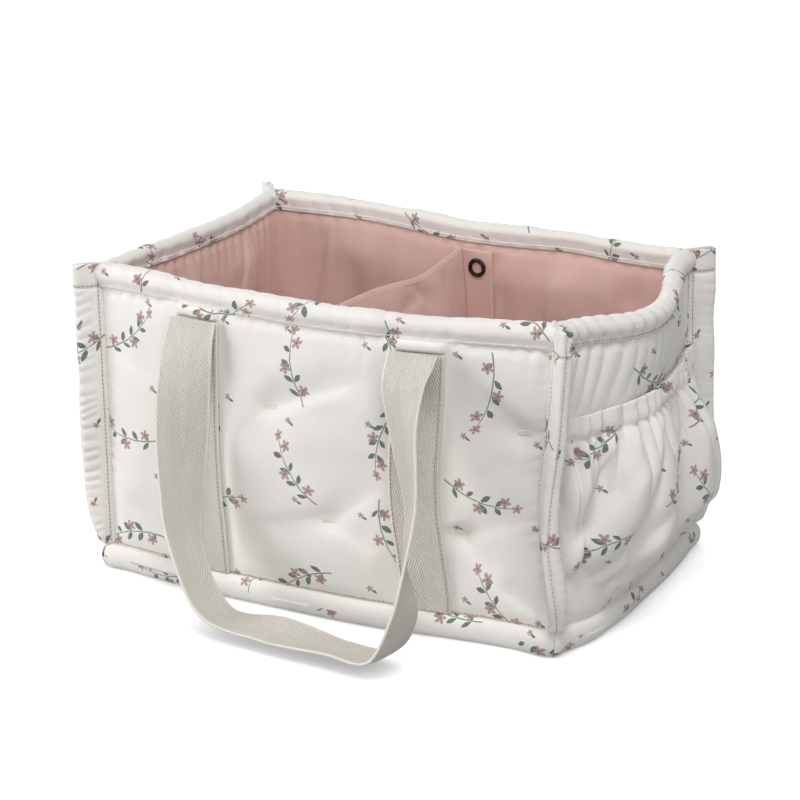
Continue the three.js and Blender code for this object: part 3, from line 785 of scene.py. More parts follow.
def sprig_masks(finish, x, y, cell, seed):
    """Stem, leaf and flower masks of one sprig in each cell of a half-drop repeat."""
    column = finish.maths("FLOOR", x / cell)
    drop = finish.maths("MODULO", finish.maths("ABSOLUTE", column), 2.0) * (0.5 * cell)
    shifted = y + drop
    row = finish.maths("FLOOR", shifted / cell)
    value, first, second, third = finish.chance(column, row, seed)
    px = x - (column + 0.5) * cell + (first - 0.5) * (0.14 * cell)
    py = shifted - (row + 0.5) * cell + (second - 0.5) * (0.14 * cell)
    angle = value * (2 * math.pi)
    cosine, sine = finish.maths("COSINE", angle), finish.maths("SINE", angle)
    along = px * cosine + py * sine
    aside = py * cosine - px * sine
    flip = finish.maths("SIGN", third - 0.5)
    aside = aside * flip
    half = 0.37 * cell
    bend = along / half
    aside = aside - bend * bend * (0.2 * half) + 0.07 * half
    reach = abs(along) - half
    stem_width = finish.span(along, -half, half, 0.62, 0.3)
    stem = finish.edge(finish.larger(abs(aside) - stem_width, reach))

    pace = 0.148 * cell
    step = finish.maths("FLOOR", along / pace)
    local = along - step * pace
    up = abs(aside)
    side = finish.maths("SIGN", aside)
    leaf_value, leaf_size, _, _ = finish.chance(step + column * 7.0, side, seed + row)
    lean = math.radians(46)
    lengthwise = (local - 0.12 * pace) * math.cos(lean) + up * math.sin(lean)
    crosswise = up * math.cos(lean) - (local - 0.12 * pace) * math.sin(lean)
    size = 0.34 * pace * (0.8 + leaf_size * 0.45)
    inside = (lengthwise - size * 1.25) / size
    plump = (1.0 - inside * inside) * size * 0.46
    kept = finish.span(leaf_value, 0.14, 0.16, 9.0, 0.0)
    middle_of_step = abs((step + 0.5) * pace)
    whole = finish.span(middle_of_step, half - 0.4 * pace, half - 0.39 * pace, 0.0, 9.0)
    leaf = finish.edge(abs(crosswise) - plump + kept + whole)

    flower_pace = 0.235 * cell
    index = finish.maths("ROUND", along / flower_pace)
    index = finish.maths("MINIMUM", finish.larger(index, -1.0), 1.0)
    swap = 1.0 - finish.maths("MODULO", index + 3.0, 2.0) * 2.0
    from_x = along - index * flower_pace - 0.02 * cell
    from_y = aside - swap * (0.062 * cell)
    flower = bloom(finish, from_x, from_y, 0.06 * cell, value * 6.0 + index)
    tip = bloom(finish, along - half * 1.03, aside, 0.05 * cell, value * 9.0)
    return stem, leaf, finish.larger(flower[0], tip[0]), finish.larger(flower[1], tip[1])


def bloom(finish, x, y, radius, turn):
    """Masks of a flower with five round petals, and of its eye."""
    distance = finish.maths("SQRT", x * x + y * y)
    angle = finish.maths("ARCTAN2", y, x)
    lobes = abs(finish.maths("COSINE", angle * 2.5 + turn))
    petal = distance - (0.36 + lobes * 0.64) * radius
    return finish.edge(petal), finish.edge(distance - 0.17 * radius)


def small_bloom_masks(finish, x, y, cell, seed):
    """A single flower with one leaf, loosely in every cell."""
    column = finish.maths("FLOOR", x / cell + 0.5)
    row = finish.maths("FLOOR", y / cell)
    value, first, second, _ = finish.chance(column, row, seed)
    px = x - column * cell + (first - 0.5) * (0.3 * cell)
    py = y - (row + 0.5) * cell + (second - 0.5) * (0.3 * cell)
    flower, eye = bloom(finish, px, py, 0.042 * cell, value * 6.0)
    lx, ly = px - 0.05 * cell, py + 0.03 * cell
    inside = lx / (0.036 * cell)
    leaf = finish.edge(abs(ly + lx * 0.4) - (1.0 - inside * inside) * (0.017 * cell))
    return leaf, flower, eye


# Depth of the weaves' relief in metres, and the middle of the webbing's width in millimetres
COTTON_RELIEF = 0.00012
WEBBING_RELIEF = 0.0009
WEBBING_MIDDLE = 19.5


def close_cotton(finish, places, colour, cloud, slub, **surface):
    """Ends a cotton: its weave as relief, and a dull surface with a little down."""
    yarn = weave(finish, *places) * 0.35 + slub
    roughness = finish.span(cloud, 0.2, 0.8, 0.82, 0.93)
    return finish.close(colour, roughness, yarn, COTTON_RELIEF, Sheen_Roughness=0.6, **surface)


def printed_cotton(finish, settings):
    """Cream cotton with a generic scattered sprig print."""
    x, y = finish.cloth_places()
    cloud = finish.noise(x, y, 45.0)
    slub = finish.noise(x * 0.25, y, 0.9, 1.0)
    ground = finish.tint(settings.cream, settings.cream_shade, cloud)
    wobble_x = x + (finish.noise(x, y, 6.0) - 0.5) * 1.3
    wobble_y = y + (finish.noise(y, x, 6.0) - 0.5) * 1.3
    stem, leaf, flower, eye = sprig_masks(finish, wobble_x, wobble_y, settings.repeat, 3.0)
    small_leaf, small_flower, small_eye = small_bloom_masks(
        finish, wobble_x, wobble_y, settings.repeat * 0.83, 8.0
    )
    ink = finish.noise(x, y, 3.0)
    green = finish.tint(settings.leaf_dark, settings.leaf_light, ink)
    mauve = finish.tint(settings.petal, settings.petal_light, ink)
    colour = finish.tint(ground, settings.leaf_light, stem * 0.85)
    colour = finish.tint(colour, green, finish.larger(leaf, small_leaf) * 0.92)
    colour = finish.tint(colour, mauve, finish.larger(flower, small_flower) * 0.9)
    colour = finish.tint(colour, settings.petal_eye, finish.larger(eye, small_eye) * 0.85)
    colour = finish.tint(colour, (0.5, 0.47, 0.43), finish.span(slub, 0.55, 0.9, 0, 0.10))
    return close_cotton(
        finish, (x, y), colour, cloud, slub, Sheen_Weight=0.12, Specular_IOR_Level=0.25
    )


def lining_cotton(finish, settings):
    """Plain dusty pink cotton."""
    x, y = finish.cloth_places()
    cloud = finish.noise(x, y, 38.0, 3.0)
    slub = finish.noise(x * 0.25, y, 0.9, 1.0)
    colour = finish.tint(settings.pink, settings.pink_shade, cloud)
    colour = finish.tint(colour, settings.pink_light, finish.span(slub, 0.45, 0.9, 0.0, 0.35))
    return close_cotton(
        finish, (x, y), colour, cloud, slub, Sheen_Weight=0.15, Specular_IOR_Level=0.2
    )


def herringbone_webbing(finish, settings):
    """Ecru webbing woven in herringbone: x runs across it and y along it."""
    x, y = finish.cloth_places()
    aside = abs(x - WEBBING_MIDDLE)
    wander = (finish.noise(x, y, 9.0) - 0.5) * 0.5
    phase = (aside * 0.53 + y * 0.26 + wander * 0.3) * (2 * math.pi)
    line = finish.maths("SINE", phase) * 0.5 + 0.5
    selvedge = finish.span(aside, 17.6, 18.4)
    line = line + (0.6 - line) * selvedge
    yarn = finish.maths("SINE", (y + aside * 0.3) * (2 * math.pi / 0.95)) * 0.5 + 0.5
    fuzz = finish.noise(x, y, 1.0)
    cloud = finish.noise(x, y, 30.0)
    # The weave's grooves and the gaps between its yarns are darkened in the colour too: painted shade
    # over the relief
    groove = finish.span(line, 0.42, 0.05)
    colour = finish.tint(settings.webbing, settings.webbing_light, cloud)
    colour = finish.tint(colour, settings.webbing_painted_shade, groove * 0.5)
    colour = finish.tint(colour, settings.webbing_painted_shade, (1.0 - yarn) * 0.12)
    height = line * 0.9 + yarn * 0.18 + fuzz * 0.2
    return finish.close(
        colour, 0.9, height, WEBBING_RELIEF, Sheen_Weight=0.1, Sheen_Roughness=0.6,
        Specular_IOR_Level=0.2,
    )


def thread_finish(light, shade, finish, settings):
    """Sewing thread in two of the settings' colours."""
    twist = finish.grain(900.0)
    colour = finish.tint(getattr(settings, light), getattr(settings, shade), twist)
    return finish.close(colour, 0.8, twist, 0.0001, Specular_IOR_Level=0.3)


def bronze_metal(finish, settings):
    """Dark antiqued bronze, lighter where it has been rubbed."""
    rub = finish.grain(420.0, 4.0)
    rubbed = finish.span(rub, 0.45, 0.75)
    colour = finish.tint(settings.bronze, settings.bronze_rub, rubbed)
    roughness = finish.span(rubbed, 0.0, 1.0, 0.42, 0.28)
    return finish.close(colour, roughness, rub, 0.00005, Metallic=0.85)


# Each finish: what makes it, its material's name and the slot of the pieces that wear it
FINISHES = {
    "printed": (printed_cotton, "sprig_cotton", "printed_cotton"),
    "lining": (lining_cotton, "dusty_pink_cotton", "pink_lining"),
    "webbing": (herringbone_webbing, "herringbone_webbing", "webbing"),
    "thread": (partial(thread_finish, "thread", "thread_shade"), "cotton_thread", "webbing"),
    # The tan thread is dark brown: partly its own tan colour, partly painted shade of the needle
    # holes along its seams
    "thread_tan_hole_shade": (partial(thread_finish, "thread_tan_hole_shade", "thread_tan_light"), "tan_thread_with_hole_shade", "webbing"),
    "thread_pink": (partial(thread_finish, "pink_light", "pink"), "pink_thread", "pink_lining"),
    "bronze": (bronze_metal, "dark_bronze", "snap_metal"),
}

# Pieces


def make_wall_quilt(side):
    low, high = 13.0, 225.0

    def rule(u, v):
        height = mix(low, high, v)
        return beside_wall(side, u, height, quilt_out(side, u, height))

    piece = sheet_piece(f"{side}_wall_quilt", either(side, *QUILT_CELLS), rule, QUILT_SHEET)
    dress(piece, "printed", "caddy", f"{side}_wall_cover", f"{side}_wall_wadding")


def lining_out(side, place, height):
    """How far inward the lining lies from a wall's middle surface, as a negative distance."""
    run = place * wall_length(side)
    seed = seed_of(WALLS, side, 131)
    to_top = LINING_TOP - height
    to_seam = seam_distance(side, place)
    near = smooth(0, 16, to_seam) * smooth(0.5, 8, to_top)
    full = smooth(0, 40, to_seam) * smooth(0, 30, to_top)
    spacing, rise, pitch, reach, depth = either(side, *LINING_FOLDS)
    inward = WALL_FACE - 0.5 + 1.8 * near + 1.0 * full - 1.6 * smooth(1.5, -1, to_top)
    broad, fine = ripples(run, height, 60, seed), ripples(run, height, 22, seed + 1)
    inward = inward + full * (2.4 * broad + 0.9 * fine)
    fold = ripples(run + 0.12 * height, height * 0.12, spacing, seed + 5)
    inward = inward + rise * smooth(0.0, 0.25, fold) * full
    hang = run + 0.1 * to_top * ripples(run, 0 * run, 40, seed + 2)
    pinch = 1 - ruffle(hang, pitch, seed + 3)
    reach = reach * patchy(run, 30, 0.4, seed + 4)
    pinch = pinch * fade(to_top, reach) * smooth(0.5, 4, to_top)
    return -(inward - depth * pinch)


def make_wall_lining(side):
    low, high = 9.0, 226.0

    def rule(u, v):
        place, height = 1 - u, mix(low, high, v)
        return beside_wall(side, place, height, lining_out(side, place, height))

    piece = sheet_piece(f"{side}_wall_lining_cloth", either(side, *LINING_CELLS), rule, CLOTH)
    dress(piece, "lining", "caddy", f"{side}_wall_lining")
    flat = (wall_length(side) * MM, (high - low) * MM)


def binding_section(share):
    """Distance out and height of a point on the binding's outer face, outside foot to inside."""
    outer_leg = ARCH_SPRING - QUILT_TOP
    inner_leg = ARCH_SPRING - LINING_TOP
    arch = math.pi * (BINDING_FACE + ARCH_RISE) / 2
    total = outer_leg + arch + inner_leg
    run = np.asarray(share, float) * total
    angle = np.clip((run - outer_leg) / arch, 0, 1) * math.pi
    out = BINDING_FACE * np.cos(angle)
    over = (run >= outer_leg) & (run <= outer_leg + arch)
    height = np.select(
        [run < outer_leg, over],
        [ARCH_SPRING - outer_leg + run, ARCH_SPRING + ARCH_RISE * np.sin(angle)],
        ARCH_SPRING - (run - outer_leg - arch),
    )
    return out, height, run, total


def binding_point(side, place, share):
    """A point on the bound edge: share runs over it from outside to inside."""
    out, height, run, total = binding_section(share)
    along = place * wall_length(side)
    seed = seed_of(WALLS, side, 211)
    to_seam = seam_distance(side, place)
    span = np.clip(run / total, 0, 1)
    puff = -0.9 + 2.4 * swell(span, 6) * smooth(0, 0.2, span) * smooth(1.02, 0.62, span)
    puff = puff + 0.9 * bell(span - 0.24, 0.1)
    if side in LONG_WALLS:
        x = beside_wall(side, place, height, 0)[..., 0]
        puff = puff - 2.2 * strip_press(x) * smooth(0.75, 0.45, span)
    spacing, depth = GATHERS[side]
    skew = along + 0.3 * run + 2.0 * ripples(along, run, 14, seed + 5)
    fold = (1 - ruffle(skew, spacing, seed, 0.6)) * patchy(along, 45, 0.5, seed + 2)
    fold = fold * mix(0.6, 1.0, np.abs(2 * span - 1)) * smooth(0, 8, to_seam)
    fold = fold * smooth(0, 0.12, span) * smooth(1, 0.9, span)
    soft = ripples(along, run * 0.5, 30, seed + 1) * smooth(0, 12, to_seam)
    swelled = puff - depth * fold + 0.7 * soft * swell(span, 4)
    outward = np.clip(out / BINDING_FACE, -1, 1)
    upward = np.sqrt(np.maximum(1 - outward**2, 0))
    height = height + swelled * upward * 0.7
    out = out + swelled * outward
    level = np.minimum(height, 225)
    outside = smooth(0.3, 0.1, span)
    out = mix(out, np.maximum(out, quilt_out(side, place, level) + 0.5), outside)
    inside = smooth(0.7, 0.9, span)
    out = mix(out, np.minimum(out, lining_out(side, place, level) - 0.5), inside)
    return beside_wall(side, place, height, out)


def make_top_binding(side):
    piece = sheet_piece(
        f"{side}_bound_edge", either(side, *BINDING_CELLS), partial(binding_point, side), CLOTH
    )
    nodes = [f"{side}_top_binding"]
    if side in END_WALLS:
        nodes.append(f"{side}_top_elastic")
    dress(piece, "printed", "caddy", *nodes)
    flat = (wall_length(side) * MM, 0.044)
    places = np.linspace(0.01, 0.99, 500)
    seams = []
    for share in (0.045, 0.925):
        at = np.full_like(places, share)
        line = binding_point(side, places, at)
        seams.append((line, line - beside_wall(side, places, binding_section(at)[1], 0)))
    # Only the right binding, the end that lies in shade, gets the dark thread: painted shade along
    # its stitching
    key = "thread_tan_hole_shade" if side == "right" else "thread"
    stitches(f"{side}_edge_topstitch", seams, "edge", key)


def band_point(side, run, turn):
    """A point on the puffy foot seam: run goes along it and on round half of each corner, and
    turn once round its section."""
    seed = seed_of(WALLS, side, 307)
    length = wall_length(side)
    place = np.clip(run / length, 0.0005, 0.9995)
    along = place * length
    to_corner = np.minimum(along, length - along)
    reach = BAND_DEPTH * reading(BAND_ALONG_SHARES, place) + 0.4
    reach = reach + BAND_CORNER_LOBE * bell(to_corner, 16)
    angle = 2 * math.pi * turn
    half = BAND_TOP / 2 + 0.3
    round_out = np.maximum(np.cos(angle), 0) ** 0.6
    fold = 1 - ruffle(along + 9 * turn, 11, seed)
    fold = fold * patchy(along, 40, 0.1, seed + 1) * np.sin(angle) ** 2
    wave = 0.8 * ripples(along, 6 * turn, 42, seed + 2)
    out = WALL_FACE - 1.5 + (reach + 1.5 + wave) * round_out - 0.9 * fold * round_out
    height = np.maximum(half + half * np.sin(angle) - 0.2, 0.3)
    past = np.maximum(np.abs(run - length / 2) - length / 2, 0)
    beyond = np.where(run > length / 2, 1.0, -1.0) * past
    swing = np.clip(beyond / BAND_CORNER_RUN, -1, 1) * math.pi / 4
    outward = WALLS[side][2]
    ahead = np.array([-outward[1], outward[0], 0.0])
    axis = beside_wall(side, place, height, 0)
    arm = beside_wall(side, place, height, out * np.cos(swing)) - axis
    return axis + arm + (out * np.sin(swing) - GAP * np.sign(swing))[..., None] * ahead


def make_foot_band(side):
    length = wall_length(side)

    def rule(u, v):
        return band_point(side, mix(-BAND_CORNER_RUN, length + BAND_CORNER_RUN, u), v)

    piece = closed_piece(f"{side}_foot_roll", either(side, *ROLL_CELLS), rule)
    dress(piece, "printed", "caddy", f"{side}_foot_band")
    if side in END_WALLS:
        return
    places = np.linspace(0.012, 0.988, 400)
    heights = np.full_like(places, BAND_TOP + 1.6)
    line = beside_wall(side, places, heights, quilt_out(side, places, heights))
    seam = (line, line - beside_wall(side, places, heights, 0))
    # Dark thread: tan, with painted shade of the needle holes
    stitches(f"{side}_foot_topstitch", [seam], "edge", "thread_tan_hole_shade")


# How much fuller the two sides of a fin are at nine heights from foot to top
EVEN_FIN = ((1,) * 9, (1,) * 9)
FULL_FINS = {
    "front_right": (
        (1.1, 1.2, 1.25, 1.25, 1.2, 1.15, 1.1, 1.1, 1.1),
        (1.2, 1.9, 1.9, 1.6, 1.5, 1.25, 1.15, 1.1, 1.1),
    ),
}

# Half of a fin's section, from its root to the groove at its tip: distance out and to the side
FIN_HALF_SECTION = (
    (-6.5, 3.2), (-4.2, 3.0), (-3.1, 2.5), (-1.9, 3.1), (1.0, 4.2), (6.0, 4.6), (11.0, 4.5),
    (13.4, 3.8), (14.8, 2.6), (14.9, 1.3), (13.8, 0.5), (12.4, 0.0),
)

# How much the two sides of each fin are puckered
FIN_PUCKERS = {
    "front_left": (0.6, 0.8), "front_right": (0.2, 0.2),
    "back_right": (0.4, 0.3), "back_left": (0.5, 0.7),
}


def fin_section(turn):
    """Distance out and to the side at places round a fin, evenly along its outline."""
    half = np.array(FIN_HALF_SECTION)
    outline = np.vstack([half, half[-2::-1] * (1, -1), half[:1]])
    steps = np.linalg.norm(np.diff(outline, axis=0), axis=1)
    run = np.concatenate([[0], np.cumsum(steps)]) / steps.sum()
    return np.interp(turn, run, outline[:, 0]), np.interp(turn, run, outline[:, 1])


def section_turn(point):
    """How far round a fin's section one of its listed points lies."""
    half = np.array(FIN_HALF_SECTION)
    steps = np.linalg.norm(np.diff(half, axis=0), axis=1)
    return float(steps[:point].sum() / (2 * steps.sum() + 2 * half[0, 1]))


FIN_SEAM_TURNS = (section_turn(2), 2 * section_turn(11) - section_turn(2))
FIN_TIP_TURN = section_turn(11)


def fin_point(name, up, turn):
    """A point on a corner fin: turn runs once round its section."""
    x, y = CORNERS[name][0]
    height = mix(BAND_TOP - 2, BODY_HEIGHT + FIN_RISE, up)
    east, north = corner_at(name, height)
    seat = (BINDING_FACE + GAP) * math.sqrt(2)
    free, side = fin_section(turn)
    seed = seed_of(CORNERS, name, 401)
    outer = smooth(0, 6, free)
    fold = 1 - ruffle(height + 0.25 * free + 1.5 * ripples(height, free, 18, seed), 7.5, seed)
    near, far = FIN_PUCKERS[name]
    fold = fold * patchy(height, 26, 0.25, seed + 1) * outer * mix(near, far, smooth(-1, 1, side))
    fold = fold * smooth(BODY_HEIGHT - 8, BODY_HEIGHT - 16, height)
    broad = ripples(height, free * 0.5 + 9 * (side > 0), 26, seed + 2)
    top_pinch = bell(height - QUILT_TOP, 1.6)
    near_full, far_full = (reading(shares, up) for shares in FULL_FINS.get(name, EVEN_FIN))
    side = side * mix(near_full, far_full, smooth(-1, 1, side))
    side = side * (1 - 0.26 * fold + 0.14 * broad - 0.3 * top_pinch)
    stretch = mix(FIN_END_REACH / FIN_REACH, 1.0, reading(FIN_REACH_SHARES, up))
    outward = seat + np.maximum(free, 0) * stretch + np.minimum(free, 0)
    outward = outward + outer * (0.7 * broad - 0.9 * fold)
    rounded = smooth(-3, 7, height - (BAND_TOP - 2))
    outward = seat - 4 + (outward - seat + 4) * rounded
    side = side * mix(0.4, 1, rounded)
    sway = FIN_SWAY * reading(FIN_SWAY_SHARES, up) * np.maximum(free, 0) / FIN_REACH
    root = math.sqrt(0.5)
    dx, dy = x * root, y * root
    return np.stack(
        [
            east + dx * outward - dy * (side + sway),
            north + dy * outward + dx * (side + sway),
            height,
        ],
        axis=-1,
    )


def make_corner_fin(name):
    piece = closed_piece(f"{name}_fin", (250, 52), partial(fin_point, name))
    dress(piece, "printed", "caddy", f"{name}_corner_fin")
    places = np.linspace(0.02, 0.985, 400)
    seams = []
    for turn in FIN_SEAM_TURNS:
        turns = np.full_like(places, turn)
        line = fin_point(name, places, turns)
        seams.append((line, line - fin_point(name, places, FIN_TIP_TURN * 2 - turns)))
    tip = fin_point(name, places, np.full_like(places, FIN_TIP_TURN))
    seams.append((tip, tip - fin_point(name, places, 0 * places)))
    around = np.linspace(*FIN_SEAM_TURNS, 60)
    level = np.full_like(around, (QUILT_TOP - BAND_TOP + 2) / QUILT_TOP)
    ring = fin_point(name, level, around)
    seams.append((ring, ring - ring.mean(axis=0)))
    # Dark thread: tan, with painted shade of the needle holes
    stitches(f"{name}_fin_stitch", seams, "fin", "thread_tan_hole_shade")


def make_sewn_strip(side, end, label):
    middle = place_of(side, end * STRIP_MIDDLE)
    half = WEBBING_WIDTH / 2 / SEAM_LENGTH
    seed = 503 + int(10 * end) + (7 if side == "front" else 0)

    def point(across, up, lift=0):
        place = mix(middle - half, middle + half, across)
        height = mix(BAND_TOP + 0.4, STRAP_TOP - 0.3, up)
        wave = 0.4 * ripples(across * WEBBING_WIDTH, height, 34, seed)
        edge = 0.5 * (1 - swell(across, 8))
        out = WALL_FACE + crown_at(place, height) + 0.6 + WEBBING_THICKNESS
        return beside_wall(side, place, height, out + wave - edge + lift)

    piece = sheet_piece(f"{side}_{label}_strip", (16, 110), point, STRIP_SHEET)
    dress(piece, "webbing", "caddy", f"{side}_{label}_sewn_strip")
    places = np.linspace(0.01, 0.99, 200)
    seams = []
    for across in (0.06, 0.94):
        at = np.full_like(places, across)
        line = point(at, places)
        seams.append((line, line - point(at, places, -5)))
    # Dark thread: tan, with painted shade of the needle holes
    stitches(f"{side}_{label}_strip_stitch", seams, "strip", "thread_tan_hole_shade")


def curve_through(stations, count):
    """Evenly shared points of a centripetal curve through stations, and their directions."""
    points = np.asarray(stations, float)
    first, last = 2 * points[0] - points[1], 2 * points[-1] - points[-2]
    padded = np.vstack([first, points, last])
    shares = np.linspace(0, 1, count)
    at = shares * (len(points) - 1)
    index = np.minimum(at.astype(int), len(points) - 2)
    t = (at - index)[:, None]
    p0, p1, p2, p3 = (padded[index + k] for k in range(4))
    d0 = np.maximum(np.linalg.norm(p1 - p0, axis=1) ** 0.5, 1e-4)[:, None]
    d1 = np.maximum(np.linalg.norm(p2 - p1, axis=1) ** 0.5, 1e-4)[:, None]
    d2 = np.maximum(np.linalg.norm(p3 - p2, axis=1) ** 0.5, 1e-4)[:, None]
    m1 = ((p1 - p0) / d0 - (p2 - p0) / (d0 + d1) + (p2 - p1) / d1) * d1
    m2 = ((p2 - p1) / d1 - (p3 - p1) / (d1 + d2) + (p3 - p2) / d2) * d1
    a = 2 * p1 - 2 * p2 + m1 + m2
    b = -3 * p1 + 3 * p2 - 2 * m1 - m2
    line = a * t**3 + b * t**2 + m1 * t + p1
    run = 3 * a * t**2 + 2 * b * t + m1
    return line, run / np.linalg.norm(run, axis=1, keepdims=True)


def make_handle(side, fold, seed):
    count = 320
    route = np.array(HANDLE_ROUTE, float)
    stations = np.stack(
        [
            route[:, 0] * STRIP_MIDDLE,
            -mix(fold, HANDLE_REACH, route[:, 1]),
            route[:, 2] * STRAP_TOP,
        ],
        axis=-1,
    )
    line, run = curve_through(stations, count + 1)
    shares = np.linspace(0, 1, count + 1)
    turn = np.radians(reading(route[:, 3], shares))
    lift = np.radians(reading(route[:, 4], shares))
    width = np.stack(
        [-np.cos(turn) * np.cos(lift), -np.sin(turn) * np.cos(lift), np.sin(lift)], axis=-1
    )
    width = width - run * (width * run).sum(1, keepdims=True)
    width = width / np.linalg.norm(width, axis=1, keepdims=True)
    face = np.cross(width, run)
    travelled = np.concatenate([[0], np.cumsum(np.linalg.norm(np.diff(line, axis=0), axis=1))])
    length = travelled[-1]
    spin = -1.0 if side == "back" else 1.0

    def point(across, share):
        index = np.clip(np.round(share * count).astype(int), 0, count)
        at = travelled[index]
        curl = 0.9 * (2 * across - 1) ** 2
        curl = curl + 0.5 * ripples(across * WEBBING_WIDTH, at, 48, seed)
        edge = 0.35 * ripples(at, across * 90, 14, seed + 1)
        fixed = smooth(0, 25, at) * smooth(0, 25, length - at)
        offset = (across - 0.5) * WEBBING_WIDTH + edge * fixed * np.sign(across - 0.5)
        made = line[index] + width[index] * offset[:, None]
        made = made + face[index] * (curl * fixed)[:, None]
        return made * np.array([spin, spin, 1.0])

    piece = sheet_piece(f"{side}_handle", (18, count), point, STRIP_SHEET, 0.0)
    dress(piece, "webbing", f"{side}_handle", f"{side}_handle_loop")


def pocket_place(share):
    margin = POCKET_MARGIN / SEAM_WIDTH
    return mix(margin, 1 - margin, share)


def pocket_run(side, place):
    """How far a place on a pocket lies from the front seam."""
    return (1 - place if side == "left" else place) * SEAM_WIDTH


def pocket_mouth(place):
    return POCKET_MOUTH + POCKET_MOUTH_RISE * np.sin(math.pi * place)


def belly_of(side):
    trial = POCKET_MOUTH_ROOM
    columns, rows = np.meshgrid(np.arange(1, 16) / 16, np.arange(1, 8) / 8)
    place = pocket_place(columns)
    height = mix(BAND_TOP, pocket_mouth(place), rows)
    seat = WALL_FACE + WALL_CROWN + GAP + CLOTH
    flat = np.abs(beside_wall(side, place, height, seat)[..., 0])
    bellied = np.abs(beside_wall(side, place, height, seat + trial)[..., 0])
    needed = trial * (POCKET_REACH - flat) / (bellied - flat)
    return float((needed / belly_share(side, place, height)).min())


def belly_share(side, place, height):
    rise = (height - BAND_TOP) / (pocket_mouth(place) - BAND_TOP)
    from_front = 1 - place if side == "left" else place
    return reading(BELLY_SHARES, rise) * reading(LOBE_SHARES, from_front)


# Creases low on a pocket: start and end as distance from the front seam and height, width, depth
POCKET_CREASES = (
    ((6, 34), (82, 92), 6, 4.5),
    ((4, 22), (70, 52), 6, 3.5),
    ((14, 78), (60, 138), 5, 3.0),
    ((106, 20), (88, 66), 5, 3.0),
    ((134, 22), (158, 70), 6, 3.5),
    ((196, 22), (170, 64), 6, 3.0),
)


def pocket_out(side, belly, place, height):
    """The pocket's outer face, with gathers that open out below its elastic."""
    rise = (height - BAND_TOP) / (pocket_mouth(place) - BAND_TOP)
    from_edge = np.minimum(np.minimum(np.sin(math.pi * place), np.clip(rise, 0, 1)) / 0.33, 1)
    seat = WALL_FACE + WALL_CROWN + GAP
    out = seat + np.maximum(belly * belly_share(side, place, height), POCKET_MOUTH_ROOM * from_edge)
    out = out - 1.8 * smooth(0.05, 0, np.minimum(place, 1 - place))
    run = pocket_run(side, place)
    below = pocket_mouth(place) - height
    above = height - BAND_TOP
    seed = POCKET_SEEDS[side]
    edge = smooth(0, 8, run) * smooth(0, 8, SEAM_WIDTH - run)
    fan = run + 0.22 * np.clip(below - 12, 0, 80) * ripples(run, 0 * run, 34, seed + 4)
    strength = patchy(run, 18, 0.8, seed + 5)
    hem = 1 - smooth(12, 17, below)
    tight = ruffle(fan, POCKET_PLEAT, seed, 0.8) * mix(1 - smooth(12, 46, below), 1, hem)
    reach = 75 + 45 * ripples(run, 0 * run, 17, seed + 6)
    loose = ruffle(fan, 18.0, seed + 1, 0.75) * smooth(10, 26, below)
    loose = loose * (1 - smooth(0.3, 1, below / reach))
    long_fold = ruffle(fan + 0.25 * below, 42, seed + 2, 0.65) * smooth(20, 50, below)
    long_fold = long_fold * smooth(6, 50, above)
    foot = ruffle(run + 0.6 * above, 19, seed + 3, 0.8) * (1 - smooth(8, 44, above))
    foot = foot * smooth(-2, 5, above)
    folds = strength * (6.6 * tight + 7.5 * loose) + 11.0 * long_fold + 3.5 * foot - 10.0
    for start, end, width, depth in POCKET_CREASES:
        folds = folds + crease(run, height, start, end, width, 2.2 * depth)
    seam = bell(run - 0.54 * SEAM_WIDTH, 3.2) * smooth(18, 34, below)
    out = out + edge * folds - 4.0 * seam
    wall = quilt_out(side, place, np.clip(height, BAND_TOP, QUILT_TOP)) + 1.4
    return np.where(out > wall, out, wall + 0.25 * np.maximum(out - wall, -3))


def make_pocket(side):
    belly = belly_of(side)

    def rule(u, v):
        place = pocket_place(u)
        mouth = pocket_mouth(place)
        height = mix(BAND_TOP - 4, mouth, np.clip(v / POCKET_HEM_SHARE, 0, 1))
        out = pocket_out(side, belly, place, height)
        casing = bell(mouth - height - 6.5, 5.0)
        stitched = bell(mouth - height - POCKET_HEM, 1.8)
        out = out + 1.6 * casing - 2.2 * stitched
        back = np.clip((v - POCKET_HEM_SHARE) / (1 - POCKET_HEM_SHARE), 0, 1)
        turn = np.clip(back / 0.35, 0, 1) * math.pi
        down = np.clip((back - 0.35) / 0.65, 0, 1) * (POCKET_HEM - 1)
        scallop = 3.6 * ruffle(pocket_run(side, place), POCKET_PLEAT, POCKET_SEEDS[side], 0.8)
        height = height + (1.2 + scallop) * np.sin(turn) - down
        out = out - 3.2 * (1 - np.cos(turn)) / 2
        return beside_wall(side, place, height, out)

    piece = sheet_piece(f"{side}_gathered_pocket", (370, 112), rule, POCKET_SHEET)
    dress(piece, "printed", "caddy", f"{side}_end_pocket", f"{side}_pocket_elastic")


def flange_face(side, x, height):
    """Y of a divider flange's inner face, in millimetres."""
    inward = WALL_FACE + SNAP_SPACE + FLANGE_THICKNESS
    return beside_wall(side, place_of(side, x), height, -inward)[..., 1]


def divider_point(aside, share, height):
    front = flange_face("front", DIVIDER_PLACE + aside, height) + GAP
    back = flange_face("back", DIVIDER_PLACE + DIVIDER_SKEW + aside, height) - GAP
    x = DIVIDER_PLACE + DIVIDER_SKEW * share + aside
    return np.stack([x, mix(front, back, share), height], axis=-1)


# Creases of the divider: start and end as distance from its front end and height, width, depth
DIVIDER_CREASES = (
    ((140, 213), (176, 176), 4, 3.0),
    ((120, 190), (160, 196), 4, 1.8),
    ((44, 212), (74, 184), 4, 2.4),
    ((186, 206), (206, 150), 5, 2.0),
)


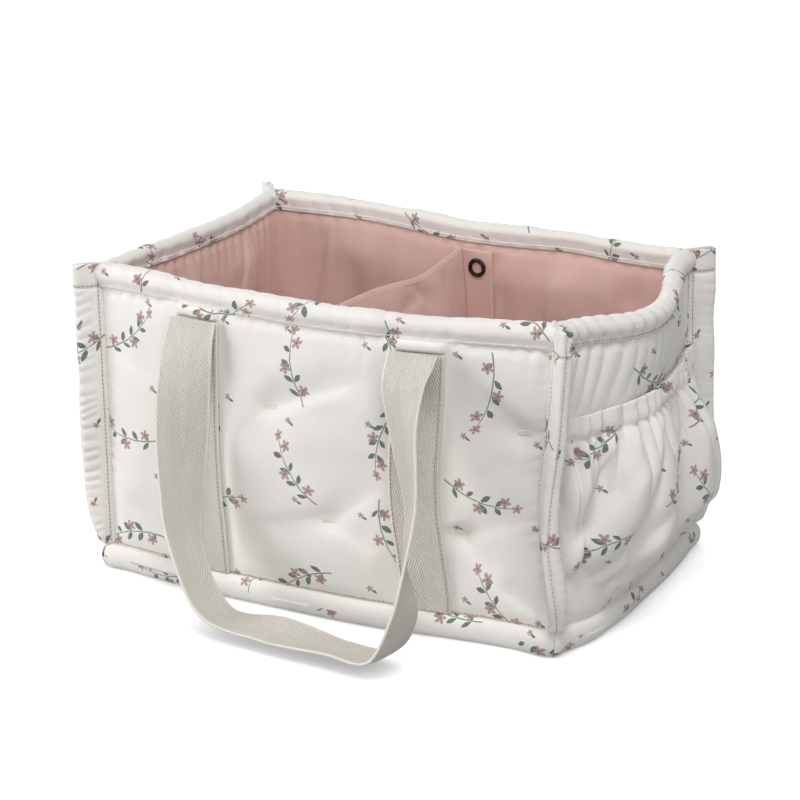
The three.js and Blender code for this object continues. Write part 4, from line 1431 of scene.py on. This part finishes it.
def divider_section(share, turn):
    """Distance aside and height at places round the divider, and the height of its top."""
    half = DIVIDER_HALF
    top = DIVIDER_TOP - DIVIDER_SAG * reading(DIVIDER_SAG_SHARES, share)
    tall = top - half - DIVIDER_FOOT
    arch = math.pi * half
    run = turn * (2 * tall + arch + 2 * half)
    angle = np.clip((run - tall) / arch, 0, 1) * math.pi
    base = np.clip(run - 2 * tall - arch, 0, None)
    parts = [run < tall, run < tall + arch, run < 2 * tall + arch]
    aside = np.select(parts, [-half, -half * np.cos(angle), half], half - base)
    height = np.select(
        parts,
        [
            DIVIDER_FOOT + run,
            top - half + half * np.sin(angle),
            top - half - (run - tall - arch),
        ],
        DIVIDER_FOOT,
    )
    return aside, height, top


def divider_rule(u, v):
    """A point on the padded divider, with its folds and creases."""
    aside, height, top = divider_section(u, v)
    below = top - height
    side = np.sign(aside)
    along = u * DIVIDER_LENGTH
    to_back = DIVIDER_LENGTH - along
    clear = smooth(0, 40, along) * smooth(0, 40, to_back)
    aside = aside * mix(0.3, mix(1.15, 2.3, clear), smooth(0, 60, below) ** 0.55)
    free = smooth(0, 16, below) * smooth(0, 14, along) * smooth(0, 14, to_back)
    puff = 2.4 * ripples(along, height, 44, 701) * side + 1.2 * ripples(along, height, 19, 702)
    fold = 0.9 * ripples(along + 0.6 * height, height * 0.3, 22, 703)
    edge = -0.1 * bell(below - DIVIDER_SEAM_DROP, 1.6)
    gather = 0.5 * puckers(along, below, 8, 12, 704)
    aside = aside + side * (free * (0.6 + 0.5 * puff + 0.5 * fold) + edge + gather * free)
    for start, end, width, depth in DIVIDER_CREASES:
        aside = aside + side * free * crease(along, height, start, end, width, depth)
    return divider_point(aside, u, height)


def make_divider():
    piece = closed_piece("divider_panel", (150, 210), divider_rule)
    dress(piece, "lining", "divider", "divider_cover", "divider_wadding")
    places = np.linspace(0.02, 0.98, 200)
    tops = DIVIDER_TOP - DIVIDER_SAG * reading(DIVIDER_SAG_SHARES, places)
    seams = []
    for side in (-1, 1):
        aside = np.full_like(places, side * DIVIDER_SEAM_ASIDE)
        line = divider_point(aside, places, tops - DIVIDER_SEAM_DROP)
        seams.append((line, np.tile([float(side), 0.0, 0.0], (len(line), 1))))
    stitches("divider_topstitch", seams, "divider", "thread_pink", "divider")
    for side in LONG_WALLS:
        make_flange(side)


def make_flange(side):
    end = DIVIDER_PLACE + (DIVIDER_SKEW if side == "back" else 0)
    near, far = end - DIVIDER_HALF, end + FLANGE_WIDTH
    face = WALL_FACE + SNAP_SPACE + FLANGE_THICKNESS
    seed = 811 if side == "front" else 823

    def point(across, up, lift=0):
        height = mix(DIVIDER_FOOT, DIVIDER_TOP, up)
        x = mix(near, far, across)
        wave = 0.35 * ripples(x, height, 24, seed)
        rim = 0.5 * (1 - swell(across, 10))
        return beside_wall(side, place_of(side, x), height, -(face + wave - rim + lift))

    def rule(u, v):
        across = u if side == "back" else 1 - u
        return point(across, v)

    flat = ((far - near) * MM, (DIVIDER_TOP - DIVIDER_FOOT) * MM)
    piece = sheet_piece(f"{side}_flange", (26, 110), rule, FLANGE_SHEET)
    dress(piece, "lining", "divider", f"divider_{side}_flange")
    places = np.linspace(0.01, 0.985, 200)
    seams = []
    for across in (0.2, 0.93):
        at = np.full_like(places, across)
        line = point(at, places)
        seams.append((line, point(at, places, 5) - line))
    stitches(f"{side}_flange_stitch", seams, "flange", "thread_pink", "divider")


def turned_piece(name, profile, place, facing, body, node):
    """A round piece turned from a closed profile of (radius, height) in millimetres."""
    bm = bmesh.new()
    points = [bm.verts.new((radius * MM, 0, rise * MM)) for radius, rise in profile]
    edges = [bm.edges.new((points[k], points[(k + 1) % len(points)])) for k in range(len(points))]
    bmesh.ops.spin(
        bm, geom=points + edges, cent=(0, 0, 0), axis=(0, 0, 1), angle=2 * math.pi,
        steps=48, use_merge=True, use_duplicate=False,
    )
    bmesh.ops.remove_doubles(bm, verts=bm.verts, dist=TURNED_MERGE)
    bmesh.ops.recalc_face_normals(bm, faces=bm.faces)
    turn = Vector((0, 0, 1)).rotation_difference(Vector(facing)).to_matrix().to_4x4()
    bmesh.ops.transform(bm, matrix=Matrix.Translation(Vector(place) * MM) @ turn, verts=bm.verts)
    for face in bm.faces:
        face.smooth = True
    return dress(new_object(name, mesh_of(bm, name)), "bronze", body, node)


def round_profile(hole, radius, rise, steps=5):
    """A ring's section with a rounded top."""
    profile = [(hole, 0.0), (radius, 0.0)]
    middle, half = (hole + radius) / 2, (radius - hole) / 2
    for step in range(steps + 1):
        angle = math.pi * step / steps
        profile.append((middle + half * math.cos(angle), rise * (0.35 + 0.65 * math.sin(angle))))
    return profile


# The parts of a press stud: hole, radius and rise of each, its distance from the lining, its body
SNAP_PARTS = {
    "ring": ((4.3, 7.5, 1.5), SNAP_SPACE + FLANGE_THICKNESS + 0.35, "divider"),
    "socket": ((2.2, 6.0, 1.1), 1.8, "divider"),
    "stud": ((2.2, 6.0, 1.1), 0.3, "caddy"),
}


def make_snaps():
    for side in LONG_WALLS:
        end = DIVIDER_PLACE + (DIVIDER_SKEW if side == "back" else 0) + SNAP_INSET
        for level, height in zip(("upper", "lower"), SNAP_HEIGHTS):
            place = place_of(side, end, height)
            seat = beside_wall(side, place, height, -WALL_FACE)
            facing = beside_wall(side, place, height, -WALL_FACE - 1) - seat
            facing = facing / np.linalg.norm(facing)
            stem = f"{side}_{level}"
            for part, (profile, distance, body) in SNAP_PARTS.items():
                turned_piece(
                    f"{stem}_{part}", round_profile(*profile), seat + facing * distance, facing,
                    body, f"{stem}_snap_{part}",
                )


def base_point(u, v, height, inset):
    """A point of the base between the four walls' feet."""
    level = np.full_like(u, 8.0)

    def foot(side, place):
        return beside_wall(side, np.clip(place, 0.001, 0.999), level, -inset)

    x = mix(foot("left", 1 - v)[:, 0], foot("right", v)[:, 0], u)
    y = mix(foot("front", u)[:, 1], foot("back", 1 - u)[:, 1], v)
    return np.stack([x, y, height], axis=-1)


def make_base():
    def floor_rule(u, v):
        wave = 0.5 * ripples(u * 370, v * 230, 60, 901) + 0.35 * ripples(u * 370, v * 230, 22, 902)
        return base_point(u, v, BASE_TOP + wave * swell(u, 6) * swell(v, 6), 5.4)

    floor = sheet_piece("base_floor_cloth", (110, 70), floor_rule, CLOTH)
    dress(floor, "lining", "caddy", "base_lining", "base_wadding")

    def under_rule(u, v):
        return base_point(1 - u, v, 0.05 + 0 * u, -WALL_FACE)

    under = sheet_piece("base_underside_cloth", (60, 40), under_rule, UNDERSIDE_SHEET)
    dress(under, "printed", "caddy", "base_cover")


def make_tacks():
    """Bar tacks: a close zigzag of thread between two long threads at every dimple."""
    seams = []
    for side, tacks in TACKS.items():
        for x, height in tacks:
            sweep = np.linspace(-12, 12, 24 * 8 + 1)
            paths = [(x + sweep * 0.4, height + 1.8 * np.sin(math.pi * sweep))]
            for rise in (-1.3, 1.3):
                paths.append((np.linspace(x - 4.9, x + 4.9, 12), np.full(12, height + rise)))
            for xs, heights in paths:
                place = place_of(side, xs, heights)
                line = beside_wall(side, place, heights, quilt_out(side, place, heights) + 0.3)
                seams.append((line, line - beside_wall(side, place, heights, 0)))
    stitches("quilt_bar_tacks", seams, "tack", "thread")


# Stage


def make_floor(settings):
    """The floor, which also glows for the camera so that it looks white, with less glow beside the
    caddy as a painted contact shadow.
    """
    bm = bmesh.new()
    bmesh.ops.create_grid(bm, x_segments=1, y_segments=1, size=settings.floor_size)
    mesh = mesh_of(bm, "floor")
    floor = new_object("floor", mesh)
    finish = Finish("pale_floor")
    finish.shader.inputs["Base Color"].default_value = (*settings.floor_colour, 1)
    finish.shader.inputs["Roughness"].default_value = 0.95
    finish.shader.inputs["Specular IOR Level"].default_value = 0.1
    place = finish.add("ShaderNodeTexCoord").outputs["Object"]
    far = finish.add("ShaderNodeVectorMath", {"operation": "LENGTH"}, {0: place}).outputs["Value"]
    # Where the AO node finds the caddy near, the glow is cut: a painted contact shadow on the floor
    near = finish.add("ShaderNodeAmbientOcclusion", {"samples": 8}, {"Distance": 0.03})
    painted_shadow_share = finish.span(near.outputs["AO"], 0.1, 0.8, 0.4, 1.0)
    glow = finish.span(far, 0.45, 2.2, settings.floor_glow, 0.9) * finish.seen() * painted_shadow_share
    glow = finish.add("ShaderNodeEmission", None, {"Color": (1, 1, 1, 1), "Strength": glow})
    both = finish.add("ShaderNodeAddShader", None, {0: finish.shader.outputs[0], 1: glow.outputs[0]})
    finish.feed(finish.tree.nodes["Material Output"].inputs["Surface"], both.outputs[0])
    mesh.materials.append(finish.material)


def make_sky(settings):
    """An even sky with a wide soft light in one part of it, and white for the camera."""
    world = bpy.data.worlds.new("studio")
    world.use_nodes = True
    sky = Nodes(world.node_tree)
    ray = sky.add("ShaderNodeTexCoord").outputs["Generated"]
    light_side = Vector(settings.wide_light_side).normalized()
    towards = sky.add("ShaderNodeVectorMath", {"operation": "DOT_PRODUCT"}, {0: ray, 1: light_side})
    wide = sky.span(
        towards.outputs["Value"], 0.5, 0.97, settings.sky_level, settings.wide_light, "SMOOTHSTEP"
    )
    background = world.node_tree.nodes["Background"]
    background.inputs["Color"].default_value = (1, 1, 1, 1)
    sky.feed(background.inputs["Strength"], sky.span(sky.seen(), 0.0, 1.0, wide, 1.0))
    bpy.context.scene.world = world


def make_lamps(settings):
    """Round lamps that all face the middle of the caddy."""
    for name, place, size, power in (
        ("key", settings.key_place, 1.0, settings.key_power),
        ("top", (0.38, -0.6, 1.5), 0.5, settings.top_power),
        ("back", (-0.7, 1.5, 0.75), 0.9, settings.back_power),
    ):
        lamp = bpy.data.lights.new(name, "AREA")
        lamp.shape = "DISK"
        lamp.size = size
        lamp.energy = power
        holder = new_object(name, lamp)
        holder.location = place
        aim = Vector((0, 0, 0.1)) - Vector(place)
        holder.rotation_euler = aim.to_track_quat("-Z", "Y").to_euler()


def make_camera(settings):
    yaw, pitch, roll = (math.radians(value) for value in settings.camera_angles)
    ahead = Vector(
        (math.sin(yaw) * math.cos(pitch), math.cos(yaw) * math.cos(pitch), -math.sin(pitch))
    )
    right = Vector((math.cos(yaw), -math.sin(yaw), 0))
    up = right.cross(ahead)
    turned_right = math.cos(roll) * right + math.sin(roll) * up
    turned_up = -math.sin(roll) * right + math.cos(roll) * up
    camera = bpy.data.cameras.new("camera")
    camera.sensor_width = 36
    camera.lens = settings.camera_lens
    camera.clip_end = 50
    holder = new_object("camera", camera)
    turn = Matrix((turned_right, turned_up, -ahead)).transposed().to_4x4()
    holder.matrix_world = Matrix.Translation(settings.camera_place) @ turn
    bpy.context.scene.camera = holder
    bpy.context.scene.view_settings.view_transform = "Standard"


# Settings


def colour_property(name, description, default):
    return FloatVectorProperty(
        name=name, description=description, default=default, subtype="COLOR", min=0, max=1, size=3
    )


class CaddyLooks(bpy.types.PropertyGroup):
    """Colours, print and light of the caddy."""

    cream: colour_property("Cream", "Ground colour of the printed cotton", (0.87, 0.848, 0.815))
    cream_shade: colour_property("Cream shade", "Second ground colour", (0.84, 0.812, 0.772))
    leaf_dark: colour_property("Leaf", "Darker leaf colour", (0.055, 0.10, 0.075))
    leaf_light: colour_property("Leaf light", "Lighter leaf and stem colour", (0.13, 0.19, 0.14))
    petal: colour_property("Petal", "Petal colour", (0.37, 0.225, 0.22))
    petal_light: colour_property("Petal light", "Lighter petal colour", (0.50, 0.345, 0.335))
    petal_eye: colour_property("Flower eye", "Middle of a flower", (0.22, 0.11, 0.12))
    pink: colour_property("Pink", "Lining colour", (0.75, 0.522, 0.475))
    pink_shade: colour_property("Pink shade", "Darker lining colour", (0.68, 0.45, 0.40))
    pink_light: colour_property("Pink light", "Lighter yarn of the lining", (0.79, 0.585, 0.53))
    webbing: colour_property("Webbing", "Webbing colour", (0.86, 0.82, 0.745))
    webbing_light: colour_property("Webbing light", "Lighter webbing", (0.90, 0.87, 0.81))
    # Painted shade for the grooves of the webbing's weave and the gaps between its yarns
    webbing_painted_shade: colour_property("Webbing shade", "Grooves of the weave", (0.50, 0.45, 0.37))
    thread: colour_property("Thread", "Sewing thread", (0.90, 0.86, 0.78))
    # Dark brown thread: partly tan thread, partly painted shade of the needle holes
    thread_tan_hole_shade: colour_property("Tan thread", "Thread of seams that shows dark", (0.34, 0.25, 0.17))
    thread_shade: colour_property("Thread shade", "Twist of the thread", (0.80, 0.745, 0.65))
    thread_tan_light: colour_property("Tan twist", "Twist of the tan thread", (0.56, 0.47, 0.36))
    bronze: colour_property("Bronze", "Press stud metal", (0.020, 0.016, 0.014))
    bronze_rub: colour_property("Rubbed bronze", "Where the studs are rubbed", (0.10, 0.075, 0.06))
    repeat: FloatProperty(
        name="Repeat", description="Size of one cell of the print in millimetres", default=76.0,
        min=20,
    )


class CaddyStage(bpy.types.PropertyGroup):
    """Camera, floor and light."""

    camera_place: FloatVectorProperty(
        name="Camera", description="Place of the camera", default=(0.9264, -1.5906, 0.7428),
        subtype="XYZ", unit="LENGTH", size=3,
    )
    camera_angles: FloatVectorProperty(
        name="Camera angles", description="Yaw, pitch and roll in degrees",
        default=(-30.2, 18.6, -1.1), size=3,
    )
    camera_lens: FloatProperty(
        name="Lens", description="Focal length in millimetres", default=116.505, min=1
    )
    floor_size: FloatProperty(
        name="Floor", description="Half the floor's width", default=12.0, unit="LENGTH"
    )
    floor_colour: colour_property("Floor colour", "Colour of the floor", (0.48, 0.48, 0.48))
    floor_glow: FloatProperty(
        name="Floor glow", description="White added to the floor for the camera", default=0.78
    )
    sky_level: FloatProperty(name="Sky", description="Light from all round", default=0.16)
    wide_light: FloatProperty(name="Wide light", description="Soft light at the right", default=1.06)
    wide_light_side: FloatVectorProperty(
        name="Wide light side", description="Where the wide light comes from",
        default=(0.64, -0.62, 0.55), subtype="XYZ", size=3,
    )
    key_place: FloatVectorProperty(
        name="Key place", description="Place of the lamp at the left", default=(-1.3, -1.0, 0.42),
        subtype="XYZ", unit="LENGTH", size=3,
    )
    key_power: FloatProperty(name="Key", description="Lamp at the left", default=15.0)
    top_power: FloatProperty(name="Top", description="Lamp above", default=9.0)
    back_power: FloatProperty(name="Back", description="Lamp behind", default=14.0)


# Operators


class CADDY_OT_walls(bpy.types.Operator):
    """Makes the four quilted walls and their linings"""

    bl_idname = "caddy.walls"
    bl_label = "Walls"

    def execute(self, context):
        for side in WALLS:
            make_wall_quilt(side)
            make_wall_lining(side)
        make_tacks()
        return {"FINISHED"}


class CADDY_OT_edges(bpy.types.Operator):
    """Makes the bound top edges, the foot seam and the corner fins"""

    bl_idname = "caddy.edges"
    bl_label = "Bound edges"

    def execute(self, context):
        for side in WALLS:
            make_top_binding(side)
            make_foot_band(side)
        for name in CORNERS:
            make_corner_fin(name)
        return {"FINISHED"}


class CADDY_OT_base(bpy.types.Operator):
    """Makes the cloths of the base"""

    bl_idname = "caddy.base"
    bl_label = "Base"

    def execute(self, context):
        make_base()
        return {"FINISHED"}


class CADDY_OT_webbing(bpy.types.Operator):
    """Makes the sewn strips and the two handle loops"""

    bl_idname = "caddy.webbing"
    bl_label = "Webbing"

    def execute(self, context):
        for side in LONG_WALLS:
            for end, label in ((-1, "left"), (1, "right")):
                make_sewn_strip(side, end, label)
        make_handle("front", FRONT_FOLD, 551)
        make_handle("back", BACK_FOLD, 571)
        return {"FINISHED"}


class CADDY_OT_pockets(bpy.types.Operator):
    """Makes the two gathered end pockets"""

    bl_idname = "caddy.pockets"
    bl_label = "Pockets"

    def execute(self, context):
        for side in END_WALLS:
            make_pocket(side)
        return {"FINISHED"}


class CADDY_OT_divider(bpy.types.Operator):
    """Makes the divider, its flanges and the press studs"""

    bl_idname = "caddy.divider"
    bl_label = "Divider"

    def execute(self, context):
        make_divider()
        make_snaps()
        return {"FINISHED"}


class CADDY_OT_stage(bpy.types.Operator):
    """Makes the camera, floor and light"""

    bl_idname = "caddy.stage"
    bl_label = "Stage"

    def execute(self, context):
        settings = context.scene.caddy_stage
        make_camera(settings)
        make_floor(settings)
        make_sky(settings)
        make_lamps(settings)
        return {"FINISHED"}


OPERATORS = (
    CADDY_OT_walls,
    CADDY_OT_edges,
    CADDY_OT_base,
    CADDY_OT_webbing,
    CADDY_OT_pockets,
    CADDY_OT_divider,
    CADDY_OT_stage,
)


class CADDY_PT_panel(bpy.types.Panel):
    """Lists the caddy's settings and operators"""

    bl_idname = "CADDY_PT_panel"
    bl_label = "Diaper caddy"
    bl_space_type = "VIEW_3D"
    bl_region_type = "UI"
    bl_category = "Caddy"

    def draw(self, context):
        for group in (context.scene.caddy_looks, context.scene.caddy_stage):
            for key in group.bl_rna.properties.keys():
                if key not in ("rna_type", "name"):
                    self.layout.prop(group, key)
        for operator in OPERATORS:
            self.layout.operator(operator.bl_idname)


CLASSES = (CaddyLooks, CaddyStage, *OPERATORS, CADDY_PT_panel)


def register():
    for item in CLASSES:
        bpy.utils.register_class(item)
    bpy.types.Scene.caddy_looks = PointerProperty(type=CaddyLooks)
    bpy.types.Scene.caddy_stage = PointerProperty(type=CaddyStage)


def unregister():
    del bpy.types.Scene.caddy_stage
    del bpy.types.Scene.caddy_looks
    for item in reversed(CLASSES):
        bpy.utils.unregister_class(item)


def main():
    register()
    bpy.ops.caddy.stage()
    bpy.ops.caddy.walls()
    bpy.ops.caddy.edges()
    bpy.ops.caddy.base()
    bpy.ops.caddy.webbing()
    bpy.ops.caddy.pockets()
    bpy.ops.caddy.divider()


if __name__ == "__main__":
    main()
